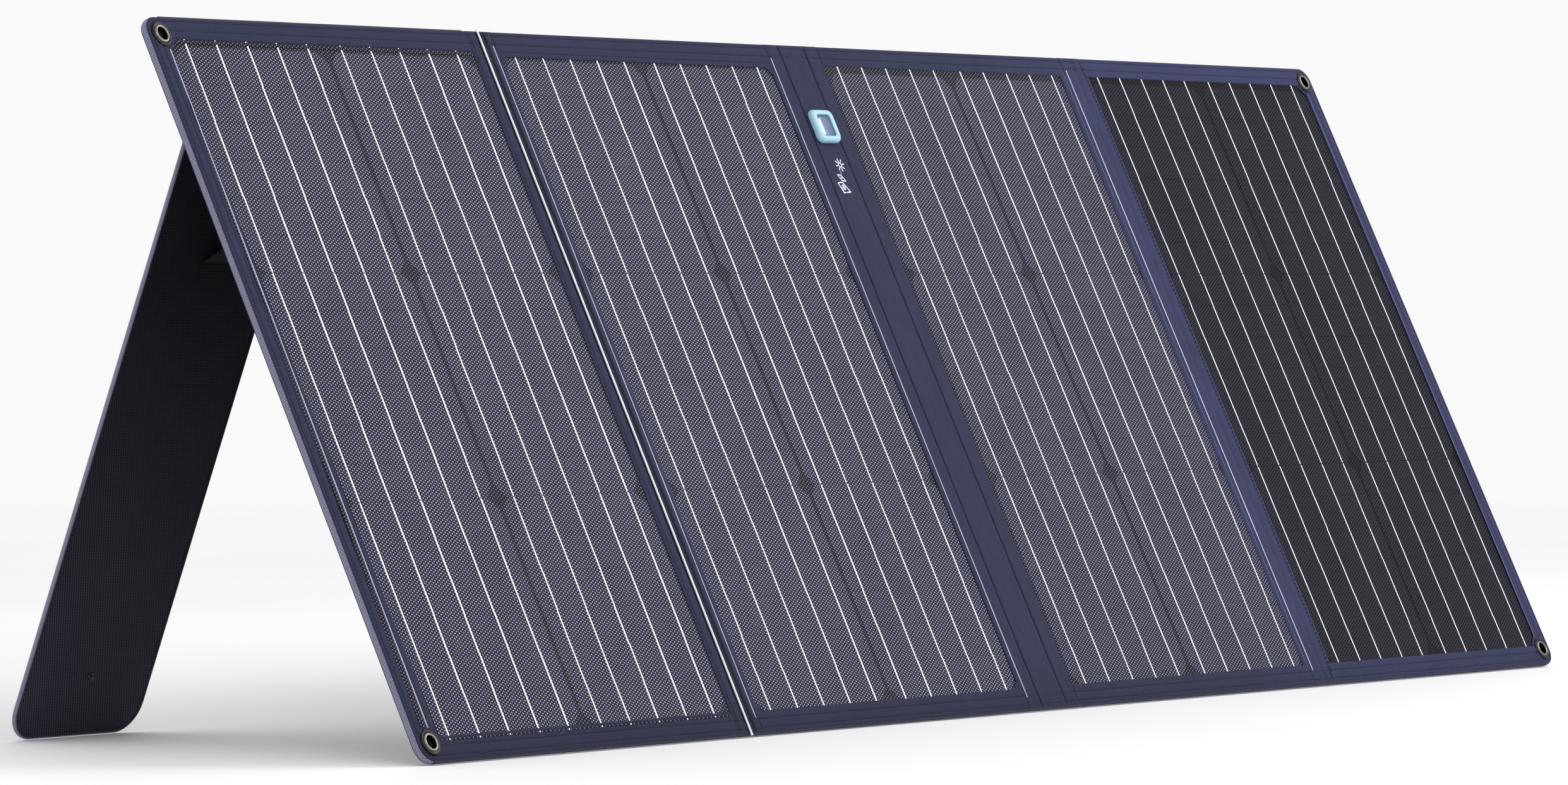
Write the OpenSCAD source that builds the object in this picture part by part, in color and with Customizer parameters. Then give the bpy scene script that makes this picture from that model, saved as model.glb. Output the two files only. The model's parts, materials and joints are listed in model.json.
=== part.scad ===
// Folding solar panel for camping: four stiff solar panels sewn into one cloth,
// closing like a book round a cloth spine and standing on two kickstands.
// Millimetres, +Z up, +X along the unfolded width, cells looking towards -Y and up.
// The origin is on the ground, in the middle of the footprint.
//
// Parts are drawn in the panel frame (x across, y up the face, z out of the cells,
// with z = 0 at the front cloth), and lean_back() stands them up.
// Left and right are mirror images, so most parts are drawn once, on the +x side.

/* [Panels] */
// Half of the unfolded width
half_w = 723; // [700:1:760]
// Height of the face
panel_h = 525; // [515:1:560]
// Thickness of one panel with its cloth
panel_t = 6; // [6:0.1:6.4]
// Radius of the outer corners
corner_r = 12; // [8:1:14]
// Angle between the face and the ground
lean = 64; // [55:1:75]
// Distance of the outer fold lines from the middle
fold_x = 372.5; // [371:0.5:374]
// Half of the distance between the two spine fold lines
spine_half = 16; // [15.5:0.5:17]

/* [Cloth] */
// Thickness of the front cloth
front_cloth_t = 0.6; // [0.4:0.1:0.6]
// Thickness of the back cloth
back_cloth_t = 0.5; // [0.4:0.1:0.5]
// Width of the edge binding
border_w = 16; // [14:1:17]
// Cloth folded round the edge, measured from the rim to the boards inside
rim_t = 1.2; // [1:0.1:1.4]
// Radius of the piping cord beside the left fold
piping_r = 0.9; // [0.6:0.1:1]

/* [Solar laminate] */
// Width of a window in the front cloth
window_w = 323; // [322:1:324]
// Middle of the window of an inner panel
inner_window_x = 194.5; // [194:0.5:195]
// Middle of the window of an outer panel
outer_window_x = 545.5; // [545:0.5:546]
// How far the clear front sheet reaches under the cloth
sheet_tuck = 6; // [4:0.5:6]
// Side of a silicon cell
cell_w = 156.75; // [156:0.25:157]
// Distance between the two columns of cells
column_pitch = 161; // [160:0.5:162]
// Rows of cells on a panel
cell_rows = 3; // [3:1:3]
// Strips that each cell is cut into
strips_per_cell = 6; // [6:1:6]
// Distance between strips
strip_pitch = 27.08; // [26.8:0.02:27.1]
// Height of the middle of the cells
cells_mid_y = 260; // [258:1:264]
// Corner chamfer of a cell
cell_chamfer = 8.4; // [6:0.2:10]
// Ribbons on one cell
ribbons_per_cell = 5; // [3:1:6]
// Width of a ribbon
ribbon_w = 1.6; // [1:0.1:2]

/* [Eyelets] */
// Bore radius of an eyelet
eyelet_r = 4.5; // [4:0.25:4.75]
// Distance of an eyelet from both edges
eyelet_inset = 13; // [12:0.5:14]
// Outer radius of the washers
washer_r = 8.7; // [8:0.1:9]

/* [Sun sight] */
// Width of the rubber frame
sight_w = 27; // [24:0.5:28]
// Height of the rubber frame
sight_h = 26; // [24:0.5:27]
// How far it stands out of the spine
sight_t = 5; // [4:0.1:5]
// Width of its window
sight_window_w = 16; // [14:0.5:17]
// Height of its window
sight_window_h = 17; // [14:0.5:18]
// Distance of its middle from the top edge
sight_drop = 67; // [60:1:80]

/* [Kickstands] */
// Angle between a kickstand and the panel when it is open
leg_open = 47.3; // [40:0.1:48]
// Height of the kickstand hinge on the panel
leg_hinge_y = 470; // [465:1:475]
// Middle of a kickstand, measured across the panel
leg_mid_x = 621; // [600:1:622]
// Width of a kickstand
leg_w = 130; // [110:1:130]
// Thickness of a kickstand with its cover
leg_t = 3; // [2.8:0.1:3]
// Radius of the foot's corners
foot_r = 22; // [16:1:25]
// Length of the stay strap
stay_len = 83; // [80:0.5:83]
// Distance of the stay's anchor below the kickstand hinge
stay_drop = 74; // [74:0.5:76]
// Angle of the stay to the panel when the kickstand is open
stay_open = 88; // [88:0.5:90]

/* [Pocket and handles] */
// Depth of the zip pocket
pocket_t = 12; // [11:0.5:13]
// Top of the zip pocket
pocket_top = 170; // [165:1:175]
// Middle of the zip, measured up the panel
zip_y = 152; // [145:1:152]
// Thickness of a carrying handle's straps
handle_t = 3; // [2:0.5:3.5]
// Reach of a carrying handle from its rod
handle_reach = 70; // [55:1:75]

/* [Hidden] */

$fn = 48;
navy = [0.20, 0.21, 0.34];
black_cloth = [0.06, 0.06, 0.08];
white = [0.93, 0.94, 0.96];
steel = [0.75, 0.76, 0.78];

// Half of the gap between neighbouring bodies, so that each panel is its own piece
slit = 0.25;
// Height of the front lower edge when the back lower edge is on the ground
rest_lift = panel_t * cos(lean);
// Layers, from the front cloth's face (z = 0) backwards
sheet_top = -front_cloth_t;
sheet_t = 0.5;
ribbon_top = sheet_top - sheet_t;
ribbon_t = 0.1;
cell_top = ribbon_top - ribbon_t;
cell_t = 0.3;
board_top = cell_top - cell_t;
back_face = back_cloth_t - panel_t;
board_bottom = back_face + back_cloth_t;
// Clearance of a layer inside the binding
layer_gap = 0.2;
// Corner cuts that leave the cloth alone to hold the eyelets
board_cut = 34;
sheet_cut = 20;

column_strips = cell_rows * strips_per_cell;
strip_h = cell_w / strips_per_cell;
column_len = column_strips * strip_pitch;
lead_w = 3;

outer_span = [fold_x + slit, half_w];
inner_span = [spine_half + slit, fold_x - slit];

leg_hinge_z = -8.5;
hinge_height = rest_lift + leg_hinge_y * sin(lean) + leg_hinge_z * cos(lean);
leg_len = hinge_height / sin(lean + leg_open);
// Footprint: from the front of the piping cord to the foot of the kickstands
front_y = -2 * piping_r * sin(lean);
foot_y = leg_hinge_y * cos(lean) - leg_hinge_z * sin(lean) - leg_len * cos(lean + leg_open)
    + leg_t * sin(lean + leg_open);
footprint_mid = (front_y + foot_y) / 2;
leg_cloth_t = 0.5;
leg_seam = 3;
stud_up = 43;
stud_r = 2.2;
snap_r = 6;
stay_z = (leg_hinge_z - panel_t) / 2;
stay_t = 1.2;
stay_w = 25;

pocket_x = [40, 345];
pocket_bottom = 17;
pocket_wall = 1;
pocket_face = back_face - pocket_t;
zip_x = [55, 330];
zip_tape_w = 24;
coil_w = 3;
coil_t = 1;
slider_x = 318;
slider_l = 12;
slider_w = 9;
slider_clear = 0.05;
pull_pin_r = 0.8;
pull_z = pocket_face - back_cloth_t - coil_t - 4.4;

handle_x = 362;
handle_z = -9.4;
handle_mid_y = 262.5;
handle_strap_w = 25;
handle_grip_w = 26;
handle_l = 143;
rod_r = 1.5;
rod_clear = 0.05;
tab_l = 10;

washer_t = 0.7;
washer_bore_r = eyelet_r + 0.9;
sight_floor_t = 1;
window_r = 2.5;
box_x = [234, 330];
box_y = [22, 68];

// ---- Helpers ----

// Stands the panel frame up on the ground, with the footprint's middle at the origin
module lean_back() {
    translate([0, -footprint_mid, rest_lift]) rotate([lean, 0, 0]) children();
}

// Puts a part that is drawn on the +x side on the left (-1) or the right (1)
module on_side(side) {
    mirror([side < 0 ? 1 : 0, 0, 0]) children();
}

// A plain block between two corners
module block(x, y, z) {
    translate([x[0], y[0], z[0]]) cube([x[1] - x[0], y[1] - y[0], z[1] - z[0]]);
}

// A block whose four upright edges are rounded
module rounded_block(x, y, z, r) {
    block([x[0] + r, x[1] - r], y, z);
    block(x, [y[0] + r, y[1] - r], z);
    for (cx = [x[0] + r, x[1] - r], cy = [y[0] + r, y[1] - r])
        translate([cx, cy, z[0]]) cylinder(r = r, h = z[1] - z[0]);
}

// A block whose two corners on the far x side are rounded
module end_rounded_block(x, y, z, r) {
    block([x[0], x[1] - r], y, z);
    block([x[0], x[1]], [y[0] + r, y[1] - r], z);
    for (cy = [y[0] + r, y[1] - r])
        translate([x[1] - r, cy, z[0]]) cylinder(r = r, h = z[1] - z[0]);
}

// A block whose two corners on the far x side are cut off
module end_cut_block(x, y, z, cut) {
    translate([0, 0, z[0]]) linear_extrude(z[1] - z[0]) polygon([
        [x[0], y[0]], [x[1] - cut, y[0]], [x[1], y[0] + cut],
        [x[1], y[1] - cut], [x[1] - cut, y[1]], [x[0], y[1]]
    ]);
}

module at_eyelets() {
    for (y = [eyelet_inset, panel_h - eyelet_inset])
        translate([half_w - eyelet_inset, y, 0]) children();
}

// Frame of a kickstand: origin on the hinge line, kickstand along -y, inner face at z = 0
module in_leg_frame() {
    translate([leg_mid_x, leg_hinge_y, leg_hinge_z]) rotate([leg_open, 0, 0]) children();
}

// ---- Panel layers, drawn on the +x side ----

// Clear textured sheet over the cells
module front_sheet(outer) {
    mid = outer ? outer_window_x : inner_window_x;
    reach = window_w / 2 + sheet_tuck;
    y = [border_w - sheet_tuck, panel_h - border_w + sheet_tuck];
    z = [sheet_top - sheet_t, sheet_top];
    color([0.45, 0.47, 0.6, 0.6])
        if (outer) end_cut_block([mid - reach, mid + reach], y, z, sheet_cut);
        else block([mid - reach, mid + reach], y, z);
}

// Outline of one strip; a cell's first and last strips carry its corner chamfers
function strip_bottom(chamfer) = chamfer > 0
    ? [[-cell_w / 2, chamfer], [chamfer - cell_w / 2, 0],
       [cell_w / 2 - chamfer, 0], [cell_w / 2, chamfer]]
    : [[-cell_w / 2, 0], [cell_w / 2, 0]];

function flipped(points) = [
    for (i = [len(points) - 1:-1:0]) [points[i][0], strip_h - points[i][1]]
];

// Two columns of cells, each cell cut into strips
module cell_strips(outer) {
    mid = outer ? outer_window_x : inner_window_x;
    color([0.08, 0.08, 0.14])
        for (side = [-1, 1], i = [0:column_strips - 1]) {
            place = i % strips_per_cell;
            low = place == 0 ? cell_chamfer : 0;
            high = place == strips_per_cell - 1 ? cell_chamfer : 0;
            translate([
                mid + side * column_pitch / 2,
                cells_mid_y - column_len / 2 + i * strip_pitch + (strip_pitch - strip_h) / 2,
                cell_top - cell_t
            ])
                linear_extrude(cell_t)
                    polygon(concat(strip_bottom(low), flipped(strip_bottom(high))));
        }
}

// Soldered ribbons that run up each column, with the cross leads that join them
module cell_ribbons(outer) {
    mid = outer ? outer_window_x : inner_window_x;
    ribbon_pitch = cell_w / ribbons_per_cell;
    z = [ribbon_top - ribbon_t, ribbon_top];
    low = border_w - sheet_tuck + 1;
    high = panel_h - low;
    column_half = (ribbons_per_cell - 1) / 2 * ribbon_pitch + ribbon_w / 2;
    color(white) {
        for (side = [-1, 1]) {
            column_x = mid + side * column_pitch / 2;
            for (i = [0:ribbons_per_cell - 1]) {
                x = column_x + (i - (ribbons_per_cell - 1) / 2) * ribbon_pitch;
                block([x - ribbon_w / 2, x + ribbon_w / 2], [low, high], z);
            }
            block([column_x - column_half, column_x + column_half], [low, low + lead_w], z);
        }
        reach = column_pitch / 2 + column_half;
        block([mid - reach, mid + reach], [high - lead_w, high], z);
    }
}

// Stiff board that carries the cells
module backing_board(outer) {
    fold_gap = 4;
    inset = rim_t + 2 * layer_gap;
    y = [inset, panel_h - inset];
    z = [board_bottom, board_top];
    color([0.15, 0.16, 0.18])
        if (outer) end_cut_block([outer_span[0] + fold_gap, half_w - inset], y, z, board_cut);
        else block([inner_span[0] + fold_gap, inner_span[1] - fold_gap], y, z);
}

// Front cloth beside the folds, between the window and the fold line
module fold_bands(outer) {
    y = [border_w, panel_h - border_w];
    z = [sheet_top, 0];
    color(navy)
        if (outer) block([outer_span[0], outer_window_x - window_w / 2], y, z);
        else {
            block([inner_span[0], inner_window_x - window_w / 2], y, z);
            block([inner_window_x + window_w / 2, inner_span[1]], y, z);
        }
}

// Cloth tape folded round the free edges: a channel with a front and a back lip
module edge_binding(outer) {
    span = outer ? outer_span : inner_span;
    window_end = outer ? half_w - border_w : inner_span[1] + 1;
    color(navy)
        difference() {
            if (outer) end_rounded_block(span, [0, panel_h], [-panel_t, 0], corner_r);
            else block(span, [0, panel_h], [-panel_t, 0]);
            block([span[0] - 1, window_end], [border_w, panel_h - border_w], [-panel_t - 1, 1]);
            if (outer)
                end_cut_block([span[0] - 1, half_w - rim_t], [rim_t, panel_h - rim_t],
                    [back_face, sheet_top], board_cut);
            else
                block([span[0] - 1, span[1] + 1], [rim_t, panel_h - rim_t],
                    [back_face, sheet_top]);
            if (outer)
                at_eyelets() translate([0, 0, -panel_t - 1])
                    cylinder(r = washer_bore_r, h = panel_t + 2);
        }
}

// Back cloth, tucked under the binding's back lip
module back_cover(outer) {
    inset = rim_t + layer_gap;
    y = [inset, panel_h - inset];
    z = [back_face, board_bottom];
    color(black_cloth)
        if (outer) end_cut_block([outer_span[0], half_w - inset], y, z, board_cut);
        else block(inner_span, y, z);
}

// ---- Spine, piping, eyelets and sight ----

// Front cloth of the spine, with the binding folded over its ends
module spine_cloth() {
    reach = spine_half - slit;
    color(navy)
        difference() {
            block([-reach, reach], [0, panel_h], [-panel_t, 0]);
            block([-spine_half, spine_half], [border_w, panel_h - border_w],
                [-panel_t - 1, sheet_top]);
            block([-spine_half, spine_half], [rim_t, panel_h - rim_t], [back_face, sheet_top]);
        }
}

module spine_back_cloth() {
    reach = spine_half - slit;
    inset = rim_t + layer_gap;
    color(black_cloth)
        block([-reach, reach], [inset, panel_h - inset], [back_face, board_bottom]);
}

// Cord sewn along the fold, on the inner panel's edge
module piping_cord() {
    color(white)
        translate([fold_x - 1.5, 0, piping_r]) rotate([-90, 0, 0])
            cylinder(r = piping_r, h = panel_h);
}

// Rolled barrel of an eyelet, with its two rims
module eyelet_barrels() {
    barrel_r = eyelet_r + 0.8;
    rim_r = eyelet_r + 1.9;
    rim_h = 0.9;
    front = washer_t;
    back = -panel_t - washer_t;
    ease = 0.3;
    color(steel)
        at_eyelets()
            rotate_extrude() polygon([
                [eyelet_r, back - rim_h + ease], [eyelet_r + ease, back - rim_h],
                [rim_r - ease, back - rim_h], [rim_r, back - rim_h + ease],
                [rim_r, back], [barrel_r, back],
                [barrel_r, front], [rim_r, front],
                [rim_r, front + rim_h - ease], [rim_r - ease, front + rim_h],
                [eyelet_r + ease, front + rim_h], [eyelet_r, front + rim_h - ease]
            ]);
}

// Flat washers in front of and behind the cloth
module washers() {
    color(black_cloth)
        at_eyelets()
            for (z = [-panel_t - washer_t, 0])
                translate([0, 0, z]) difference() {
                    cylinder(r = washer_r, h = washer_t);
                    translate([0, 0, -1]) cylinder(r = washer_bore_r, h = washer_t + 2);
                }
}

// Soft rubber frame that throws a square of light on the plate inside it
module sight_body() {
    shoulder = 3.2;
    draft = 1.3;
    corner = 5;
    color([0.66, 0.84, 0.9])
        translate([0, panel_h - sight_drop, 0]) difference() {
            hull() {
                rounded_block([-sight_w / 2, sight_w / 2], [-sight_h / 2, sight_h / 2],
                    [0, shoulder], corner, $fn = 32);
                rounded_block([draft - sight_w / 2, sight_w / 2 - draft],
                    [draft - sight_h / 2, sight_h / 2 - draft],
                    [shoulder, sight_t], corner - draft, $fn = 32);
            }
            rounded_block([-sight_window_w / 2, sight_window_w / 2],
                [-sight_window_h / 2, sight_window_h / 2], [sight_floor_t, sight_t + 1],
                window_r, $fn = 32);
        }
}

// Plate at the bottom of the sight's window, with its shadow post
module sight_floor() {
    gap = 0.2;
    plate_t = 0.6;
    post_r = 0.9;
    post_h = 2.8;
    color([0.35, 0.42, 0.5])
        translate([0, panel_h - sight_drop, sight_floor_t]) {
            rounded_block([gap - sight_window_w / 2, sight_window_w / 2 - gap],
                [gap - sight_window_h / 2, sight_window_h / 2 - gap], [0, plate_t],
                window_r - gap);
            cylinder(r = post_r, h = post_h);
        }
}

// Printed symbol under the sight: a sun above a ring with a dot
module symbol_print() {
    print_t = 0.15;
    sun_y = panel_h - sight_drop - 30;
    ring_y = sun_y - 17;
    disc_r = 2.6;
    rays = 8;
    ray_span = [3.6, 5.6];
    ray_half_w = 0.4;
    dot_r = 1.2;
    ring_r = 5;
    ring_w = 0.9;
    color(white) {
        translate([0, sun_y, 0]) {
            cylinder(r = disc_r, h = print_t);
            for (i = [0:rays - 1])
                rotate([0, 0, i * 360 / rays])
                    block(ray_span, [-ray_half_w, ray_half_w], [0, print_t]);
        }
        translate([0, ring_y, 0]) {
            cylinder(r = dot_r, h = print_t);
            difference() {
                cylinder(r = ring_r, h = print_t);
                translate([0, 0, -1]) cylinder(r = ring_r - ring_w, h = print_t + 2);
            }
        }
    }
}

// ---- Kickstands, drawn on the +x side ----

// Outline of a kickstand: square at the hinge, rounded at the foot
module leg_plate(inset, z, top) {
    reach = leg_w / 2 - inset;
    r = foot_r - inset;
    low = inset - leg_len;
    block([-reach, reach], [low + r, top], z);
    block([r - reach, reach - r], [low, top], z);
    for (cx = [r - reach, reach - r])
        translate([cx, low + r, z[0]]) cylinder(r = r, h = z[1] - z[0]);
}

// Stiff plastic board inside a kickstand
module leg_board() {
    gap = 0.1;
    color([0.12, 0.12, 0.14])
        in_leg_frame()
            leg_plate(leg_seam, [gap + leg_cloth_t - leg_t, -leg_cloth_t - gap], -4);
}

// Cloth sleeve round the board, open at the hinge
module leg_cover() {
    color(black_cloth)
        in_leg_frame() difference() {
            leg_plate(0, [-leg_t, 0], 0);
            leg_plate(leg_seam - 0.2, [leg_cloth_t - leg_t, -leg_cloth_t], 1);
        }
}

// Folded webbing sewn to the panel above the hinge line, and the stay's anchor patch
module leg_hinge_strip() {
    strip_high = 26;
    gap = 0.3;
    patch_w = stay_w + 4;
    patch_below = 6;
    patch_above = 14;
    patch_t = 1;
    stay_y = leg_hinge_y - stay_drop;
    color(black_cloth) {
        block([leg_mid_x - leg_w / 2, leg_mid_x + leg_w / 2],
            [leg_hinge_y + gap, leg_hinge_y + strip_high], [leg_hinge_z + 0.1, back_face]);
        block([leg_mid_x - patch_w / 2, leg_mid_x + patch_w / 2],
            [stay_y - patch_below, stay_y + patch_above], [back_face - patch_t, back_face]);
    }
}

// Webbing stay that stops a kickstand at its open angle
module leg_stay() {
    color(black_cloth)
        translate([leg_mid_x, leg_hinge_y - stay_drop, stay_z]) rotate([stay_open, 0, 0])
            block([-stay_w / 2, stay_w / 2], [-stay_len, 0], [-stay_t / 2, stay_t / 2]);
}

// Snap stud on the inner face near the foot
module snap_stud() {
    flange_t = 0.6;
    stud_h = 2.4;
    color(steel)
        in_leg_frame() translate([0, stud_up - leg_len, 0]) {
            cylinder(r = snap_r, h = flange_t);
            cylinder(r = stud_r, h = stud_h);
        }
}

// Snap socket on the panel's back, where the closed kickstand's stud lands
module snap_socket() {
    socket_t = 1.4;
    stud_clear = 0.4;
    floor_t = 0.2;
    color(steel)
        translate([leg_mid_x, leg_hinge_y + stud_up - leg_len, back_face - socket_t]) difference() {
            cylinder(r = snap_r, h = socket_t);
            translate([0, 0, -1]) cylinder(r = stud_r + stud_clear, h = socket_t + 1 - floor_t);
        }
}

// ---- Pocket and its contents, drawn on the +x side and used on the left ----

// Zip pocket: a tray whose open side lies on the back cloth
module pocket_tray() {
    inner_x = [pocket_x[0] + pocket_wall, pocket_x[1] - pocket_wall];
    inner_y = [pocket_bottom + pocket_wall, pocket_top - pocket_wall];
    slot_w = 8;
    corner = 10;
    color(black_cloth)
        difference() {
            rounded_block(pocket_x, [pocket_bottom, pocket_top], [pocket_face, back_face],
                corner);
            rounded_block(inner_x, inner_y, [pocket_face + pocket_wall, back_face + 1],
                corner - pocket_wall);
            block(zip_x, [zip_y - slot_w / 2, zip_y + slot_w / 2],
                [pocket_face - 1, back_face + 1]);
        }
}

// Zip tape and its coil
module zip_tape() {
    margin = 5;
    color([0.1, 0.1, 0.12]) {
        block([zip_x[0] - margin, zip_x[1] + margin],
            [zip_y - zip_tape_w / 2, zip_y + zip_tape_w / 2],
            [pocket_face - back_cloth_t, pocket_face]);
        block(zip_x, [zip_y - coil_w / 2, zip_y + coil_w / 2],
            [pocket_face - back_cloth_t - coil_t, pocket_face - back_cloth_t]);
    }
}

// Slider that straddles the coil, with the pin that its pull turns on
module slider_body() {
    coil_face = pocket_face - back_cloth_t - coil_t;
    skirt = coil_face + coil_t - 0.1;
    top = coil_face - 2.5;
    corner = 2;
    groove_w = coil_w + 0.4;
    post_t = 1.4;
    post_reach = 1.5;
    post_half = 4;
    post_over = 1.3;
    color(steel) {
        difference() {
            rounded_block([slider_x - slider_l / 2, slider_x + slider_l / 2],
                [zip_y - slider_w / 2, zip_y + slider_w / 2], [top, skirt], corner);
            block([slider_x - slider_l, slider_x + slider_l],
                [zip_y - groove_w / 2, zip_y + groove_w / 2],
                [coil_face - slider_clear, skirt + 1]);
        }
        for (y = [zip_y - post_half, zip_y + post_half - post_t])
            block([slider_x - post_reach, slider_x + post_reach], [y, y + post_t],
                [pull_z - post_over, top]);
        translate([slider_x, zip_y - post_half, pull_z]) rotate([-90, 0, 0])
            cylinder(r = pull_pin_r, h = 2 * post_half);
    }
}

// Pull that turns on the slider's pin
module pull_tab() {
    eye_w = 4.8;
    eye_r = 1.8;
    tab_len = 24;
    tab_t = 1.2;
    corner = 2.2;
    color([0.15, 0.15, 0.17])
        translate([slider_x, zip_y, pull_z]) difference() {
            union() {
                translate([0, -eye_w / 2, 0]) rotate([-90, 0, 0]) cylinder(r = eye_r, h = eye_w);
                rounded_block([0, tab_len], [-eye_w / 2, eye_w / 2],
                    [-tab_t / 2, tab_t / 2], corner);
            }
            translate([0, -eye_w, 0]) rotate([-90, 0, 0])
                cylinder(r = pull_pin_r + rod_clear, h = 2 * eye_w);
        }
}

// Box inside the pocket where the four panels' leads meet
module lead_box() {
    box_t = 9;
    corner = 6;
    color([0.05, 0.05, 0.05])
        rounded_block(box_x, box_y, [back_face - box_t, back_face], corner);
}

// Output cable, turned back on itself in the pocket, with its plug
module coiled_cable() {
    cable_r = 2.6;
    bend_r = 32;
    bend_mid = [110, 66];
    cable_z = -11;
    plug_x = 180;
    plug_l = 32;
    plug_r = 5;
    color([0.04, 0.04, 0.04]) {
        translate([bend_mid[0], bend_mid[1], cable_z]) rotate([0, 0, 90])
            rotate_extrude(angle = 180) translate([bend_r, 0]) circle(r = cable_r);
        translate([bend_mid[0], bend_mid[1] - bend_r, cable_z]) rotate([0, 90, 0])
            cylinder(r = cable_r, h = box_x[0] - bend_mid[0]);
        translate([bend_mid[0], bend_mid[1] + bend_r, cable_z]) rotate([0, 90, 0])
            cylinder(r = cable_r, h = plug_x - bend_mid[0]);
        translate([plug_x, bend_mid[1] + bend_r, cable_z]) rotate([0, 90, 0])
            cylinder(r = plug_r, h = plug_l);
    }
}

// ---- Carrying handles, drawn on the +x side ----

// U-shaped webbing handle with a sewn grip, its ends looped round the rod
module carry_handle() {
    y = [handle_mid_y - handle_l / 2, handle_mid_y + handle_l / 2];
    loop_r = 3;
    grip_t = 5;
    grip_corner = 10;
    color(black_cloth)
        difference() {
            union() {
                for (low = [y[0], y[1] - handle_strap_w]) {
                    block([handle_x - handle_reach + grip_corner, handle_x], [low, low + handle_strap_w],
                        [handle_z - handle_t / 2, handle_z + handle_t / 2]);
                    translate([handle_x, low, handle_z]) rotate([-90, 0, 0])
                        cylinder(r = loop_r, h = handle_strap_w);
                }
                rounded_block([handle_x - handle_reach, handle_x - handle_reach + handle_grip_w],
                    y, [handle_z - grip_t / 2, handle_z + grip_t / 2], grip_corner);
            }
            translate([handle_x, y[0] - 1, handle_z]) rotate([-90, 0, 0])
                cylinder(r = rod_r + rod_clear, h = handle_l + 2);
        }
}

// Sewn tabs that hold the handle's rod
module handle_tabs() {
    gap = 1;
    tab_half_w = 5;
    tab_over = 2.5;
    low = handle_mid_y - handle_l / 2 - gap;
    high = handle_mid_y + handle_l / 2 + gap;
    color(black_cloth) {
        for (y = [low - tab_l, high])
            block([handle_x - tab_half_w, handle_x + tab_half_w], [y, y + tab_l],
                [handle_z - tab_over, back_face]);
        translate([handle_x, low - tab_l, handle_z]) rotate([-90, 0, 0])
            cylinder(r = rod_r, h = high - low + 2 * tab_l);
    }
}

// ---- Nodes ----

module front_sheet_1() { lean_back() on_side(-1) front_sheet(true); }
module front_sheet_2() { lean_back() on_side(-1) front_sheet(false); }
module front_sheet_3() { lean_back() on_side(1) front_sheet(false); }
module front_sheet_4() { lean_back() on_side(1) front_sheet(true); }

module cell_strips_1() { lean_back() on_side(-1) cell_strips(true); }
module cell_strips_2() { lean_back() on_side(-1) cell_strips(false); }
module cell_strips_3() { lean_back() on_side(1) cell_strips(false); }
module cell_strips_4() { lean_back() on_side(1) cell_strips(true); }

module cell_ribbons_1() { lean_back() on_side(-1) cell_ribbons(true); }
module cell_ribbons_2() { lean_back() on_side(-1) cell_ribbons(false); }
module cell_ribbons_3() { lean_back() on_side(1) cell_ribbons(false); }
module cell_ribbons_4() { lean_back() on_side(1) cell_ribbons(true); }

module backing_board_1() { lean_back() on_side(-1) backing_board(true); }
module backing_board_2() { lean_back() on_side(-1) backing_board(false); }
module backing_board_3() { lean_back() on_side(1) backing_board(false); }
module backing_board_4() { lean_back() on_side(1) backing_board(true); }

module fold_bands_1() { lean_back() on_side(-1) fold_bands(true); }
module fold_bands_2() { lean_back() on_side(-1) fold_bands(false); }
module fold_bands_3() { lean_back() on_side(1) fold_bands(false); }
module fold_bands_4() { lean_back() on_side(1) fold_bands(true); }

module edge_binding_1() { lean_back() on_side(-1) edge_binding(true); }
module edge_binding_2() { lean_back() on_side(-1) edge_binding(false); }
module edge_binding_3() { lean_back() on_side(1) edge_binding(false); }
module edge_binding_4() { lean_back() on_side(1) edge_binding(true); }

module back_cover_1() { lean_back() on_side(-1) back_cover(true); }
module back_cover_2() { lean_back() on_side(-1) back_cover(false); }
module back_cover_3() { lean_back() on_side(1) back_cover(false); }
module back_cover_4() { lean_back() on_side(1) back_cover(true); }

module spine_band() { lean_back() spine_cloth(); }
module spine_back() { lean_back() spine_back_cloth(); }
module fold_piping() { lean_back() on_side(-1) piping_cord(); }

module eyelets_left() { lean_back() on_side(-1) eyelet_barrels(); }
module eyelets_right() { lean_back() on_side(1) eyelet_barrels(); }
module eyelet_washers_left() { lean_back() on_side(-1) washers(); }
module eyelet_washers_right() { lean_back() on_side(1) washers(); }

module sight_frame() { lean_back() sight_body(); }
module sight_plate() { lean_back() sight_floor(); }
module sight_symbol() { lean_back() symbol_print(); }

module leg_board_left() { lean_back() on_side(-1) leg_board(); }
module leg_board_right() { lean_back() on_side(1) leg_board(); }
module leg_cover_left() { lean_back() on_side(-1) leg_cover(); }
module leg_cover_right() { lean_back() on_side(1) leg_cover(); }
module leg_hinge_strip_left() { lean_back() on_side(-1) leg_hinge_strip(); }
module leg_hinge_strip_right() { lean_back() on_side(1) leg_hinge_strip(); }
module leg_stay_left() { lean_back() on_side(-1) leg_stay(); }
module leg_stay_right() { lean_back() on_side(1) leg_stay(); }
module snap_stud_left() { lean_back() on_side(-1) snap_stud(); }
module snap_stud_right() { lean_back() on_side(1) snap_stud(); }
module snap_socket_left() { lean_back() on_side(-1) snap_socket(); }
module snap_socket_right() { lean_back() on_side(1) snap_socket(); }

module pocket() { lean_back() on_side(-1) pocket_tray(); }
module pocket_zip() { lean_back() on_side(-1) zip_tape(); }
module zip_slider() { lean_back() on_side(-1) slider_body(); }
module zip_pull() { lean_back() on_side(-1) pull_tab(); }
module junction_box() { lean_back() on_side(-1) lead_box(); }
module output_cable() { lean_back() on_side(-1) coiled_cable(); }

module carry_handle_left() { lean_back() on_side(-1) carry_handle(); }
module carry_handle_right() { lean_back() on_side(1) carry_handle(); }
module handle_tabs_left() { lean_back() on_side(-1) handle_tabs(); }
module handle_tabs_right() { lean_back() on_side(1) handle_tabs(); }

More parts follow.
